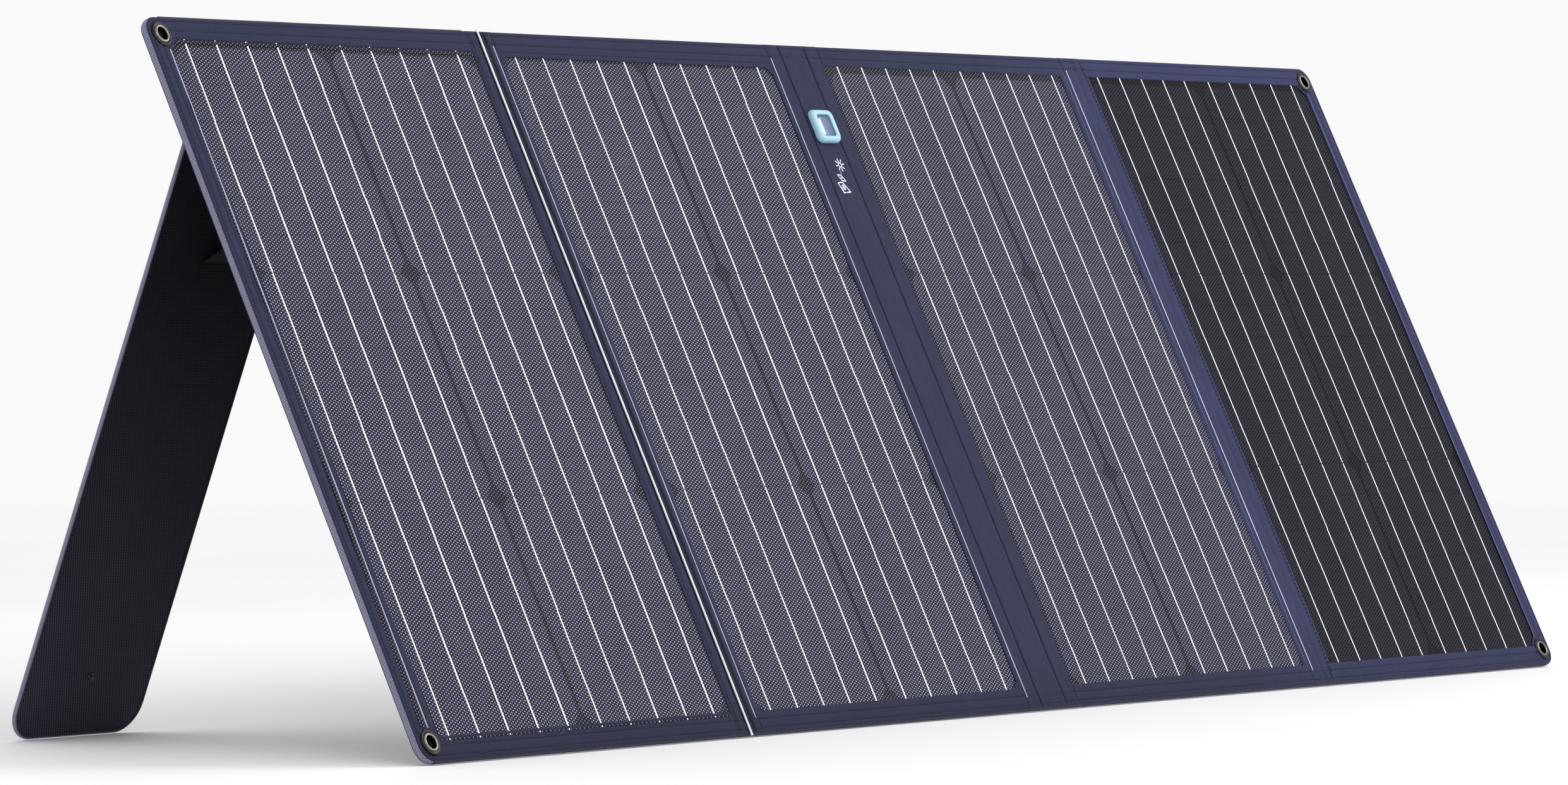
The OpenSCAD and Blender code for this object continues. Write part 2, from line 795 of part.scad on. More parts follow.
front_sheet_1();
front_sheet_2();
front_sheet_3();
front_sheet_4();
cell_strips_1();
cell_strips_2();
cell_strips_3();
cell_strips_4();
cell_ribbons_1();
cell_ribbons_2();
cell_ribbons_3();
cell_ribbons_4();
backing_board_1();
backing_board_2();
backing_board_3();
backing_board_4();
fold_bands_1();
fold_bands_2();
fold_bands_3();
fold_bands_4();
edge_binding_1();
edge_binding_2();
edge_binding_3();
edge_binding_4();
back_cover_1();
back_cover_2();
back_cover_3();
back_cover_4();
spine_band();
spine_back();
fold_piping();
eyelets_left();
eyelets_right();
eyelet_washers_left();
eyelet_washers_right();
sight_frame();
sight_plate();
sight_symbol();
leg_board_left();
leg_board_right();
leg_cover_left();
leg_cover_right();
leg_hinge_strip_left();
leg_hinge_strip_right();
leg_stay_left();
leg_stay_right();
snap_stud_left();
snap_stud_right();
snap_socket_left();
snap_socket_right();
pocket();
pocket_zip();
zip_slider();
zip_pull();
junction_box();
output_cable();
carry_handle_left();
carry_handle_right();
handle_tabs_left();
handle_tabs_right();
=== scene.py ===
"""Folding solar panel: the visual model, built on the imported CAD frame.

Shapes are drawn in millimetres in a flat frame and then placed. PANEL is the face of the
unfolded panel (x across, y up the face, z out of the cells). leg_place() is a kickstand.
"""
import json
import math
import random

import bmesh
import bpy
import numpy as np
from mathutils import Matrix, Vector, noise


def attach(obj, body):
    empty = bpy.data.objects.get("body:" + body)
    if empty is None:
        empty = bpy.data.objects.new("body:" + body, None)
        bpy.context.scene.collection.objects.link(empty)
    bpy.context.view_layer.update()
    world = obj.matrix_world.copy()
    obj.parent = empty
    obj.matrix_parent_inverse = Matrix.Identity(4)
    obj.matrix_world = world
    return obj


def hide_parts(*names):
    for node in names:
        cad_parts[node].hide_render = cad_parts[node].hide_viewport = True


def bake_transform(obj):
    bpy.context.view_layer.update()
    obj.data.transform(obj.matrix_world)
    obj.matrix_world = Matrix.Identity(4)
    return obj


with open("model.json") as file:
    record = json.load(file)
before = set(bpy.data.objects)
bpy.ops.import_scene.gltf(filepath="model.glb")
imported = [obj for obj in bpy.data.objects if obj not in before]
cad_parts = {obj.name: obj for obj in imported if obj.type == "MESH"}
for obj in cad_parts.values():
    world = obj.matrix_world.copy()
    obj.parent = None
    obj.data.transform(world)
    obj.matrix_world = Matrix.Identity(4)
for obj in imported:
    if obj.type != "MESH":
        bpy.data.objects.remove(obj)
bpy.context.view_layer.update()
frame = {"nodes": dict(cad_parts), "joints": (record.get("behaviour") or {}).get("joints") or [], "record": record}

random.seed(11)

# ---- The panel frame, from the record's eyelet mounts ----

MM = 0.001
EYELET_INSET = 13
THICK = 6
mounts = {m["name"]: m for m in frame["record"]["mounts"]}
joints = {j["name"]: j for j in frame["joints"]}
low_left, up_left, low_right = (
    Vector(mounts[n]["pos_m"]) for n in ("eyelet_lower_left", "eyelet_upper_left", "eyelet_lower_right")
)
UP = (up_left - low_left).normalized()
OUT = Vector(mounts["eyelet_lower_left"]["axis"]).normalized()
RIGHT = UP.cross(OUT)
ORIGIN = (low_left + low_right) / 2 - UP * EYELET_INSET * MM + OUT * THICK / 2 * MM
PANEL = (
    Matrix.Translation(ORIGIN)
    @ Matrix((RIGHT, UP, OUT)).transposed().to_4x4()
    @ Matrix.Scale(MM, 4)
)
PANEL_INV = PANEL.inverted()


def span(node):
    """Lowest and highest corner of a CAD node in the panel frame, in mm."""
    co = np.array([PANEL_INV @ v.co for v in frame["nodes"][node].data.vertices])
    return co.min(0), co.max(0)


def joint_at(name):
    return PANEL_INV @ Vector(joints[name]["pos_m"])


HALF_W = span("edge_binding_4")[1][0]
PANEL_H = span("edge_binding_4")[1][1]
CORNER_R = 12
BORDER = 16
SHEET_TUCK = 6
FOLD_X = joint_at("outer_fold_right")[0]
SPINE_X = joint_at("centre_fold")[0]
WINDOWS = {}
for n in (1, 2, 3, 4):
    lo, hi = span(f"front_sheet_{n}")
    WINDOWS[n] = (lo[0] + SHEET_TUCK, hi[0] - SHEET_TUCK)
BACK_Z = -THICK
BACK_CLOTH_Z = span("back_cover_2")[0][2]
INNER_END = WINDOWS[3][1]      # outer edge of an inner window
OUTER_END = WINDOWS[4][0]      # inner edge of an outer window
SPINE_END = WINDOWS[3][0]      # inner edge of an inner window


# ---- Shapes in mm ----

class Shape:
    """Vertices and faces gathered from several parts, with a material number per face."""

    def __init__(self):
        self.verts, self.faces, self.mats = [], [], []

    def add(self, part, mat=0):
        verts, faces = part
        base = len(self.verts)
        self.verts.extend(tuple(float(c) for c in v) for v in verts)
        self.faces.extend(tuple(i + base for i in f) for f in faces)
        self.mats.extend(mat if isinstance(mat, list) else [mat] * len(faces))
        return self


def loft(loops, caps=True, wrap=False):
    """Faces through a stack of closed loops with the same number of points."""
    loops = np.asarray(loops, float)
    m, n = loops.shape[:2]
    faces = []
    for i in range(m if wrap else m - 1):
        a, b = i * n, (i + 1) % m * n
        for j in range(n):
            k = (j + 1) % n
            faces.append((a + j, a + k, b + k, b + j))
    if caps and not wrap:
        faces.append(tuple(range(n - 1, -1, -1)))
        faces.append(tuple((m - 1) * n + j for j in range(n)))
    return loops.reshape(-1, 3), faces


def lathe(profile, turns=48, centre=(0, 0, 0)):
    """A closed (radius, z) profile turned round z."""
    loops = []
    for i in range(turns):
        a = 2 * math.pi * i / turns
        loops.append([(r * math.cos(a), r * math.sin(a), z) for r, z in profile])
    verts, faces = loft(loops, wrap=True)
    return verts + np.array(centre), faces


def rounded_loop(hx, hy, r, z, centre=(0, 0), steps=6):
    """A rounded rectangle at height z, half sizes hx and hy."""
    r = max(min(r, hx, hy), 0.01)
    points = []
    for sx, sy, start in ((1, 1, 0), (-1, 1, 90), (-1, -1, 180), (1, -1, 270)):
        for i in range(steps + 1):
            a = math.radians(start + 90 * i / steps)
            points.append((
                centre[0] + sx * (hx - r) + r * math.cos(a),
                centre[1] + sy * (hy - r) + r * math.sin(a),
                z,
            ))
    return points


def soft_block(x, y, z, r, edge, steps=6):
    """A block with rounded corners (r, seen from above) and rounded edges."""
    hx, hy = (x[1] - x[0]) / 2, (y[1] - y[0]) / 2
    centre = ((x[0] + x[1]) / 2, (y[0] + y[1]) / 2)
    edge = min(edge, (z[1] - z[0]) / 2)
    rows = []
    for i in range(4):
        a = math.radians(90 * i / 3)
        rows.append((edge * (1 - math.sin(a)), z[0] + edge * (1 - math.cos(a))))
    rows += [(inset, z[0] + z[1] - height) for inset, height in reversed(rows)]
    return loft([
        rounded_loop(hx - inset, hy - inset, max(r - inset, 0.1), height, centre, steps)
        for inset, height in rows
    ])


def dash(centre, along, up, length=2.5, width=0.75, height=0.22):
    """One stitch: a small spindle of thread that lies on the cloth."""
    c, d, u = Vector(centre), Vector(along).normalized(), Vector(up).normalized()
    s = d.cross(u)
    verts = [c - d * length / 2 - u * 0.1, c + d * length / 2 - u * 0.1]
    for t in (-0.32, 0.32):
        for side, rise in ((1, 0), (0.6, 0.8), (-0.6, 0.8), (-1, 0), (0, -0.6)):
            verts.append(c + d * length * t + s * side * width / 2 + u * rise * height)
    faces = []
    for j in range(5):
        k = (j + 1) % 5
        faces += [(0, 2 + k, 2 + j), (1, 7 + j, 7 + k), (2 + j, 2 + k, 7 + k, 7 + j)]
    return verts, faces


def stitch_row(shape, start, end, up, mat, pitch=3.4, **size):
    """Stitches from start to end."""
    start, end = Vector(start), Vector(end)
    count = max(int((end - start).length / pitch), 1)
    for i in range(count):
        centre = start.lerp(end, (i + 0.5) / count)
        shape.add(dash(centre, end - start, up, **size), mat)


def wobble(x, y, size, amount, seed=0):
    return amount * noise.noise(Vector((x / size, y / size, seed * 7.3)))


# ---- Materials ----

def rgb(r, g, b, gain=1.0):
    """Linear colour from display values."""
    def one(c):
        c /= 255
        return gain * (c / 12.92 if c <= 0.04045 else ((c + 0.055) / 1.055) ** 2.4)
    return (one(r), one(g), one(b), 1.0)


class Tree:
    """The node tree of one material, with short calls for the nodes used here."""

    def __init__(self, name):
        self.mat = bpy.data.materials.new(name)
        self.mat.use_nodes = True
        self.nodes, self.links = self.mat.node_tree.nodes, self.mat.node_tree.links
        self.bsdf = self.nodes["Principled BSDF"]
        self.cloth_xyz = None

    def wire(self, value, socket):
        if isinstance(value, bpy.types.NodeSocket):
            self.links.new(value, socket)
        else:
            socket.default_value = value

    def math(self, op, *values, clamp=False):
        node = self.nodes.new("ShaderNodeMath")
        node.operation, node.use_clamp = op, clamp
        for value, socket in zip(values, node.inputs):
            self.wire(value, socket)
        return node.outputs[0]

    def mix(self, factor, a, b):
        node = self.nodes.new("ShaderNodeMix")
        node.data_type = "RGBA"
        self.wire(factor, node.inputs[0])
        self.wire(a, node.inputs[6])
        self.wire(b, node.inputs[7])
        return node.outputs[2]

    def scale(self, colour, factor):
        """Colour times a number."""
        node = self.nodes.new("ShaderNodeVectorMath")
        node.operation = "SCALE"
        self.wire(colour if isinstance(colour, bpy.types.NodeSocket) else colour[:3], node.inputs[0])
        self.wire(factor, node.inputs[3])
        return node.outputs[0]

    def tint(self, a, b):
        """Product of two colours."""
        node = self.nodes.new("ShaderNodeVectorMath")
        node.operation = "MULTIPLY"
        self.wire(a, node.inputs[0])
        self.wire(b, node.inputs[1])
        return node.outputs[0]

    def place(self):
        """Cloth coordinates in mm, stored on each piece by make()."""
        if self.cloth_xyz is None:
            attribute = self.nodes.new("ShaderNodeAttribute")
            attribute.attribute_name = "cloth"
            split = self.nodes.new("ShaderNodeSeparateXYZ")
            self.links.new(attribute.outputs["Vector"], split.inputs[0])
            self.cloth_xyz = (*split.outputs, attribute.outputs["Vector"])
        return self.cloth_xyz

    def noise(self, size, detail=2.0, rough=0.5, stretch=None):
        """Noise with features of about size mm, from 0 to 1."""
        node = self.nodes.new("ShaderNodeTexNoise")
        node.inputs["Scale"].default_value = 1 / size
        node.inputs["Detail"].default_value = detail
        node.inputs["Roughness"].default_value = rough
        vector = self.place()[3]
        if stretch:
            mapping = self.nodes.new("ShaderNodeMapping")
            mapping.inputs["Scale"].default_value = stretch
            self.links.new(vector, mapping.inputs["Vector"])
            vector = mapping.outputs[0]
        self.links.new(vector, node.inputs["Vector"])
        return node.outputs["Fac"]

    def span(self, value, low, high, to_low=0.0, to_high=1.0):
        node = self.nodes.new("ShaderNodeMapRange")
        for v, i in zip((value, low, high, to_low, to_high), range(5)):
            self.wire(v, node.inputs[i])
        return node.outputs[0]

    def bump(self, height, depth_mm, strength=1.0):
        node = self.nodes.new("ShaderNodeBump")
        node.inputs["Strength"].default_value = strength
        node.inputs["Distance"].default_value = depth_mm * MM
        self.links.new(height, node.inputs["Height"])
        self.links.new(node.outputs[0], self.bsdf.inputs["Normal"])

    def weave(self, pitch):
        """Plain weave: (1 where the upright thread is on top, height from 0 to 1)."""
        x, y = self.place()[:2]
        a = self.math("SINE", self.math("MULTIPLY", x, math.pi / pitch[0]))
        b = self.math("SINE", self.math("MULTIPLY", y, math.pi / pitch[1]))
        over = self.math("GREATER_THAN", self.math("MULTIPLY", a, b), 0.0)
        a, b = self.math("ABSOLUTE", a), self.math("ABSOLUTE", b)
        warp = self.math("MULTIPLY", a, self.math("MULTIPLY_ADD", b, 0.45, 0.55))
        weft = self.math("MULTIPLY", b, self.math("MULTIPLY_ADD", a, 0.45, 0.55))
        pick = self.nodes.new("ShaderNodeMix")
        for value, socket in zip((over, weft, warp), (pick.inputs[0], pick.inputs[2], pick.inputs[3])):
            self.wire(value, socket)
        return over, pick.outputs[0]

    def finish(self, colour, rough, metallic=0.0, **more):
        self.wire(colour, self.bsdf.inputs["Base Color"])
        self.wire(rough, self.bsdf.inputs["Roughness"])
        self.bsdf.inputs["Metallic"].default_value = metallic
        for key, value in more.items():
            self.wire(value, self.bsdf.inputs[key.replace("_", " ")])
        return self.mat


def cloth_material(name, warp, weft, gap, pitch, patch=0.18, speck=0.25, depth=0.12,
                   rough=0.8, sheen=0.25, painted_shading=(), sheen_tint=(0.6, 0.6, 1.0, 1.0)):
    """Woven cloth: thread colours, dark gaps, mottling and a soft sheen.
    Each painted light or shade ramp is (axis, from, to, factor at from, factor at to), both factors as RGB."""
    t = Tree(name)
    over, height = t.weave(pitch)
    colour = t.mix(over, weft, warp)
    colour = t.mix(t.span(height, 0.15, 0.75), gap, colour)
    mottle = t.math("MULTIPLY_ADD", t.noise(42, 3), 2 * patch, 1 - patch)
    grain = t.math("MULTIPLY_ADD", t.noise(0.8, 2), 2 * speck, 1 - speck)
    colour = t.scale(colour, t.math("MULTIPLY", mottle, grain))
    # Ramps of painted light and shade along one cloth axis.
    for axis, start, end, first, last in painted_shading:
        colour = t.tint(colour, t.mix(t.span(t.place()[axis], start, end), first, last))
    t.bump(t.math("ADD", height, t.math("MULTIPLY", t.noise(1.6, 2), 0.6)), depth, 0.8)
    return t.finish(colour, t.span(t.noise(15), 0, 1, rough - 0.08, rough + 0.08),
                    Specular_IOR_Level=0.12, Sheen_Weight=sheen, Sheen_Roughness=0.45,
                    Sheen_Tint=sheen_tint)


def hard_material(name, colour, rough, metallic=0.0, grain=0.6, depth=0.02, wear=None, **more):
    """Metal, rubber or plastic, with uneven gloss, fine grain and worn tone."""
    t = Tree(name)
    tone = t.math("MULTIPLY_ADD", t.noise(9, 3), 0.24, 0.88)
    base = t.scale(colour, tone)
    if wear:
        base = t.mix(t.span(t.noise(5, 4, 0.65), 0.6, 0.75), base, wear)
    t.bump(t.noise(grain, 3), depth, 0.6)
    return t.finish(base, t.span(t.noise(3, 3), 0.3, 0.7, rough * 0.8, min(rough * 1.2, 1)),
                    metallic, **more)


LAMINATE_PITCH = (2.26, 1.23)
SLOW_PAINTED_FADE = (-350, 330, 1.0, 0.82)   # painted shade: the bumps' painted highlights dim to the right: x, x, factors
# Painted shade: the painted highlights drop to a fifth over the right fold, darkening panel 4.
FAST_PAINTED_FADE = (354, 384, 1.0, 0.2)


def laminate_material(name, painted_highlight, mid, dark, patch):
    """Clear embossed sheet over dark silicon: painted highlights on the bumps in a plain weave, dimmed by painted
    shade to the right.
    """
    t = Tree(name)
    over, height = t.weave(LAMINATE_PITCH)
    x = t.place()[0]
    # Painted shade that dims the painted highlights towards the right.
    painted_highlight_fade = t.math("MULTIPLY", t.span(x, *SLOW_PAINTED_FADE), t.span(x, *FAST_PAINTED_FADE))
    blotch = t.math("MULTIPLY_ADD", t.noise(60, 3, 0.6, (1, 0.5, 1)), 2 * patch, 1 - patch)
    thread = t.math("MULTIPLY_ADD", t.noise(3.0, 1, 0.5, (0.25, 2.0, 1)), 0.5, 0.75)
    # Strength of the painted highlights: the painted-shade fade times random blotches and thread streaks.
    painted_highlight_gain = t.math("MULTIPLY", t.math("MULTIPLY", painted_highlight_fade, blotch), thread)
    # Both thread colours are painted highlights on the embossed bumps; dark is the silicon between them.
    colour = t.mix(over, mid, painted_highlight)
    colour = t.mix(t.span(height, 0.4, 0.95), dark, t.scale(colour, painted_highlight_gain))
    t.bump(height, 0.16, 0.8)
    return t.finish(colour, t.span(t.noise(30), 0, 1, 0.42, 0.55), Specular_IOR_Level=0.04)


M = {
    # The light and mid colours of both laminates are painted highlights from the embossed film.
    "cells": laminate_material("laminate_cells", rgb(166, 166, 192), rgb(54, 55, 80),
                               rgb(6, 6, 16), 0.25),
    "film": laminate_material("laminate_margin", rgb(118, 120, 136), rgb(34, 35, 46),
                              rgb(5, 5, 11), 0.15),
    "ribbon": hard_material("tinned_ribbon", rgb(238, 240, 246), 0.42, 0.25, 0.4, 0.03),
    # Painted light brightens the navy towards the right (x 240 to 400); painted shade darkens it towards the lower
    # edge (y 4 to 40).
    "navy": cloth_material("navy_cloth", rgb(48, 51, 80), rgb(42, 45, 70), rgb(20, 21, 36),
                           (0.5, 0.5), sheen=0.12,
                           painted_shading=((0, 240, 400, (1, 1, 1, 1), (1.32, 1.4, 1.55, 1)),
                                   (1, 4, 40, (0.72, 0.72, 0.72, 1), (1, 1, 1, 1)))),
    # A darker copy of the navy cloth: painted shade in the fold grooves and painted shadow lines beside the
    # strips.
    "shaded_navy": cloth_material("navy_cloth_painted_shade", rgb(27, 28, 46), rgb(24, 25, 40),
                             rgb(11, 11, 19), (0.5, 0.5), sheen=0.1),
    "black": cloth_material("black_cloth", rgb(74, 76, 88), rgb(56, 58, 68), rgb(16, 16, 22),
                            (0.9, 0.9), sheen=0.15),
    "tape": cloth_material("edge_tape", rgb(206, 210, 236), rgb(40, 43, 72), rgb(16, 18, 34),
                           (0.62, 0.62), patch=0.08, depth=0.25),
    # Painted shade: the kickstand cloth darkens from the foot (y -420) to a fifth towards the hinge (y -130).
    "ribbed": cloth_material("ribbed_cloth", rgb(84, 87, 104), rgb(22, 23, 29), rgb(5, 5, 7),
                             (0.9, 1.9), depth=0.25, sheen=0.05,
                             painted_shading=((1, -420, -130, (1, 1, 1, 1), (0.2, 0.2, 0.2, 1)),)),
    "webbing": cloth_material("webbing", rgb(92, 94, 104), rgb(50, 51, 60), rgb(14, 14, 18),
                              (1.1, 2.2), depth=0.35),
    "thread": cloth_material("sewing_thread", rgb(24, 25, 40), rgb(18, 19, 32), rgb(8, 8, 14),
                             (0.3, 0.3), sheen=0.1),
    # A near-black copy of the webbing: painted shade on the stay and its patch on the kickstand.
    "shaded_web": cloth_material("webbing_painted_shade", rgb(26, 26, 32), rgb(18, 18, 22), rgb(5, 5, 6),
                               (1.1, 2.2), depth=0.35, sheen=0.05),
    "seam": cloth_material("grey_thread", rgb(132, 134, 148), rgb(104, 106, 120), rgb(50, 51, 60),
                           (0.3, 0.3), sheen=0.1),
    "cord": cloth_material("white_cord", rgb(252, 252, 255), rgb(240, 241, 248),
                           rgb(196, 198, 214), (0.7, 1.4), patch=0.05, speck=0.06),
    "pale_line": cloth_material("pale_edge", rgb(232, 234, 250), rgb(206, 209, 234),
                                rgb(130, 132, 166), (0.5, 0.9), patch=0.05),
    "dim_line": cloth_material("dim_edge", rgb(112, 116, 156), rgb(90, 94, 130),
                               rgb(50, 52, 82), (0.5, 0.9)),
    "rim": hard_material("eyelet_rim", rgb(120, 116, 112), 0.16, 1.0, 0.3, 0.01),
    "flange": hard_material("eyelet_flange", rgb(22, 20, 18), 0.2, 0.9, 0.4, 0.012,
                            rgb(44, 41, 37)),
    "steel": hard_material("snap_steel", rgb(150, 152, 156), 0.28, 1.0, 0.3, 0.01),
    "dark_metal": hard_material("black_nickel", rgb(58, 58, 62), 0.3, 0.9, 0.5, 0.02,
                                rgb(96, 96, 100)),
    "rubber": hard_material("sight_rubber", rgb(152, 194, 214), 0.42, 0.0, 0.5, 0.02,
                            Subsurface_Weight=0.15, Subsurface_Radius=(0.004, 0.005, 0.006)),
    # Grey-blue: painted shade on the sight's floor and lower inner walls.
    "plate": hard_material("sight_plate", rgb(104, 124, 152), 0.35, 0.0, 0.5, 0.02),
    "post": hard_material("sight_post", rgb(206, 178, 186), 0.4, 0.0, 0.4, 0.01),
    "print": hard_material("white_print", rgb(226, 228, 238), 0.6, 0.0, 0.25, 0.03,
                           rgb(170, 174, 200)),
    "plastic": hard_material("moulded_plastic", rgb(32, 32, 34), 0.45, 0.0, 0.25, 0.03),
    "cable": hard_material("cable_rubber", rgb(24, 24, 26), 0.55, 0.0, 0.4, 0.03),
    "board": hard_material("backing_board", rgb(36, 36, 40), 0.6, 0.0, 0.8, 0.04),
    "zip_tape": cloth_material("zip_tape", rgb(56, 57, 66), rgb(40, 41, 48), rgb(12, 12, 15),
                               (0.5, 0.9)),
    "zip_teeth": hard_material("zip_coil", rgb(84, 85, 92), 0.4, 0.0, 0.3, 0.02),
}


# ---- Making a piece ----

def cloth_coordinates(mesh, to_mm):
    """Stores box-mapped coordinates in mm on the corners, which every material reads."""
    co = np.empty(len(mesh.vertices) * 3, np.float32)
    mesh.vertices.foreach_get("co", co)
    co = np.c_[co.reshape(-1, 3), np.ones(len(mesh.vertices))] @ np.array(to_mm).T
    index = np.empty(len(mesh.loops), np.int32)
    mesh.loops.foreach_get("vertex_index", index)
    normals = np.empty(len(mesh.polygons) * 3, np.float32)
    mesh.polygons.foreach_get("normal", normals)
    turn = np.array(to_mm.to_3x3().normalized())
    main = np.abs(normals.reshape(-1, 3) @ turn.T).argmax(1)
    sizes = np.empty(len(mesh.polygons), np.int32)
    mesh.polygons.foreach_get("loop_total", sizes)
    main = np.repeat(main, sizes)
    order = np.array([[1, 2, 0], [0, 2, 1], [0, 1, 2]])[main]
    places = np.take_along_axis(co[index][:, :3], order, 1).astype(np.float32)
    attribute = mesh.attributes.get("cloth") or mesh.attributes.new("cloth", "FLOAT_VECTOR", "CORNER")
    attribute.data.foreach_set("vector", places.ravel())


def link(name, mesh):
    obj = bpy.data.objects.new(name, mesh)
    bpy.context.scene.collection.objects.link(obj)
    return obj


def settle(obj):
    """Applies the modifiers of obj to its mesh."""
    depsgraph = bpy.context.evaluated_depsgraph_get()
    mesh = bpy.data.meshes.new_from_object(obj.evaluated_get(depsgraph))
    obj.modifiers.clear()
    obj.data = mesh
    return obj


def make(name, shape, body, mats, stands_for=(), place=PANEL, bend=None,
         cut=None, angle=38, smooth=0):
    """Builds a piece from a Shape in mm. bend is (body_a, body_b, start, end) in the panel frame; its items are
    not used: a piece with bend keeps its world placement and is not attached to a body.
    """
    mesh = bpy.data.meshes.new(name)
    mesh.from_pydata(shape.verts, [], shape.faces)
    for m in mats:
        mesh.materials.append(M[m])
    mesh.polygons.foreach_set("material_index", shape.mats)
    bm = bmesh.new()
    bm.from_mesh(mesh)
    bmesh.ops.dissolve_degenerate(bm, dist=1e-4, edges=bm.edges)
    bmesh.ops.recalc_face_normals(bm, faces=bm.faces)
    bm.to_mesh(mesh)
    bm.free()
    mesh.transform(place)
    obj = link(name, mesh)
    if cut:
        tool = link("tool", bpy.data.meshes.new("tool"))
        tool.data.from_pydata(*[cut[0], [], cut[1]])
        tool.data.transform(place)
        modifier = obj.modifiers.new("cut", "BOOLEAN")
        modifier.operation, modifier.solver, modifier.object = "DIFFERENCE", "MANIFOLD", tool
        settle(obj)
        bpy.data.objects.remove(tool)
    if smooth:
        modifier = obj.modifiers.new("smooth", "SUBSURF")
        modifier.levels = modifier.render_levels = smooth
        settle(obj)
    mesh = obj.data
    mesh.shade_smooth()
    mesh.set_sharp_from_angle(angle=math.radians(angle))
    cloth_coordinates(mesh, place.inverted())
    if bend:
        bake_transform(obj)
    else:
        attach(obj, body)
    if stands_for:
        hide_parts(*stands_for)
    return obj


# ---- Solar laminates ----

CELL_W = 156.75
COLUMN_PITCH = 161
STRIP_PITCH = 27.08
STRIPS = 18
PER_CELL = 6
STRIP_H = 27.0
CHAMFER = 8.4
RIBBONS = 5
RIBBON_W = {1: 1.35, 2: 1.3, 3: 1.15, 4: 1.0}
FILM_Z = -0.58
CELL_Z = -0.42
CELLS_LOW = 260 - STRIPS * STRIP_PITCH / 2


def film_shape(window, outer):
    """The sheet's margin between and round the cells, a thin slab under the cloth's edge."""
    under, cut = 1.5, 13
    x0, x1 = window[0] - under, window[1] + under
    y0, y1 = BORDER - under, PANEL_H - BORDER + under
    loops = []
    for y in sorted({*np.linspace(y0, y1, 84), y0 + cut, y1 - cut}):
        corner = max(0, cut - (y - y0), cut - (y1 - y)) if outer else 0
        left = x0 + (corner if x0 < 0 else 0)
        right = x1 - (corner if x0 > 0 else 0)
        across = np.linspace(left, right, 48)
        top = [(x, y, FILM_Z + wobble(x, y, 26, 0.06, 1)) for x in across]
        bottom = [(x, y, FILM_Z - 0.4) for x in across[::-1]]
        loops.append(top + bottom)
    return Shape().add(loft(loops))


def strip_outline(x, y, low, high, inset):
    """Outline of one strip of a cell, with chamfers on its low or high corners."""
    h = CELL_W / 2 - inset
    b, t = y + inset, y + STRIP_H - inset
    low, high = max(low - inset * 0.4, 0.05), max(high - inset * 0.4, 0.05)
    return [(x - h, b + low), (x - h + low, b), (x + h - low, b), (x + h, b + low),
            (x + h, t - high), (x + h - high, t), (x - h + high, t), (x - h, t - high)]


def strips_shape(window):
    shape = Shape()
    mid = sum(window) / 2
    for side in (-1, 1):
        x = mid + side * COLUMN_PITCH / 2
        for i in range(STRIPS):
            y = CELLS_LOW + i * STRIP_PITCH + (STRIP_PITCH - STRIP_H) / 2
            low = CHAMFER if i % PER_CELL == 0 else 0
            high = CHAMFER if i % PER_CELL == PER_CELL - 1 else 0
            lift = random.uniform(-0.03, 0.03)
            loops = []
            for inset, z in ((0, FILM_Z - 0.1), (0, CELL_Z - 0.1), (0.08, CELL_Z - 0.02),
                             (0.3, CELL_Z)):
                loops.append([(px, py, z + lift) for px, py in strip_outline(x, y, low, high, inset)])
            shape.add(loft(loops))
    return shape


def ribbons_shape(window, n):
    """Ribbons with the small sideways steps they take from strip to strip."""
    shape = Shape()
    mid = sum(window) / 2
    section = [(-0.5, -0.2), (-0.5, 0.07), (-0.32, 0.17), (0.32, 0.17), (0.5, 0.07), (0.5, -0.2)]
    top = PANEL_H - BORDER - 1
    for side in (-1, 1):
        for i in range(RIBBONS):
            x = mid + side * COLUMN_PITCH / 2 + (i - (RIBBONS - 1) / 2) * CELL_W / RIBBONS
            path = [(x, BORDER - 1, 0)]
            for k in range(STRIPS):
                y = CELLS_LOW + k * STRIP_PITCH
                shift = random.uniform(-0.3, 0.3)
                if k and k % PER_CELL == 0:
                    path += [(x + shift, y - 0.7, 0), (x + shift, y - 0.3, -0.25),
                             (x + shift, y + 0.3, -0.25)]
                path += [(x + shift, y + 0.9, 0), (x + shift, y + STRIP_PITCH - 1.1, 0)]
            path.append((x, top + 2, 0))
            loops = []
            for px, py, dip in path:
                loops.append([(px + s * RIBBON_W[n], py, CELL_Z + h + dip) for s, h in section])
            shape.add(loft(loops))
    return shape


for n, window in WINDOWS.items():
    body = f"panel_{n}"
    make(f"sheet_{n}", film_shape(window, n in (1, 4)), body, ["film"],
         [f"front_sheet_{n}"])
    make(f"strips_{n}", strips_shape(window), body, ["cells"], [f"cell_strips_{n}"],
         angle=60)
    make(f"ribbons_{n}", ribbons_shape(window, n), body, ["ribbon"], [f"cell_ribbons_{n}"],
         angle=60)


# ---- Edge binding ----

ROWS = (3.6, 10.2)   # distance of the two stitch rows from the edge
LIP = 0.6


def front_relief(d):
    """Height of the binding's front face at distance d from the edge: padded, pulled in at the stitches."""
    z = 0.28 * math.sin(math.pi * min(max(d / BORDER, 0), 1)) ** 0.5
    for row in ROWS:
        z -= 0.42 * math.exp(-((d - row) / 0.55) ** 2)
    return z


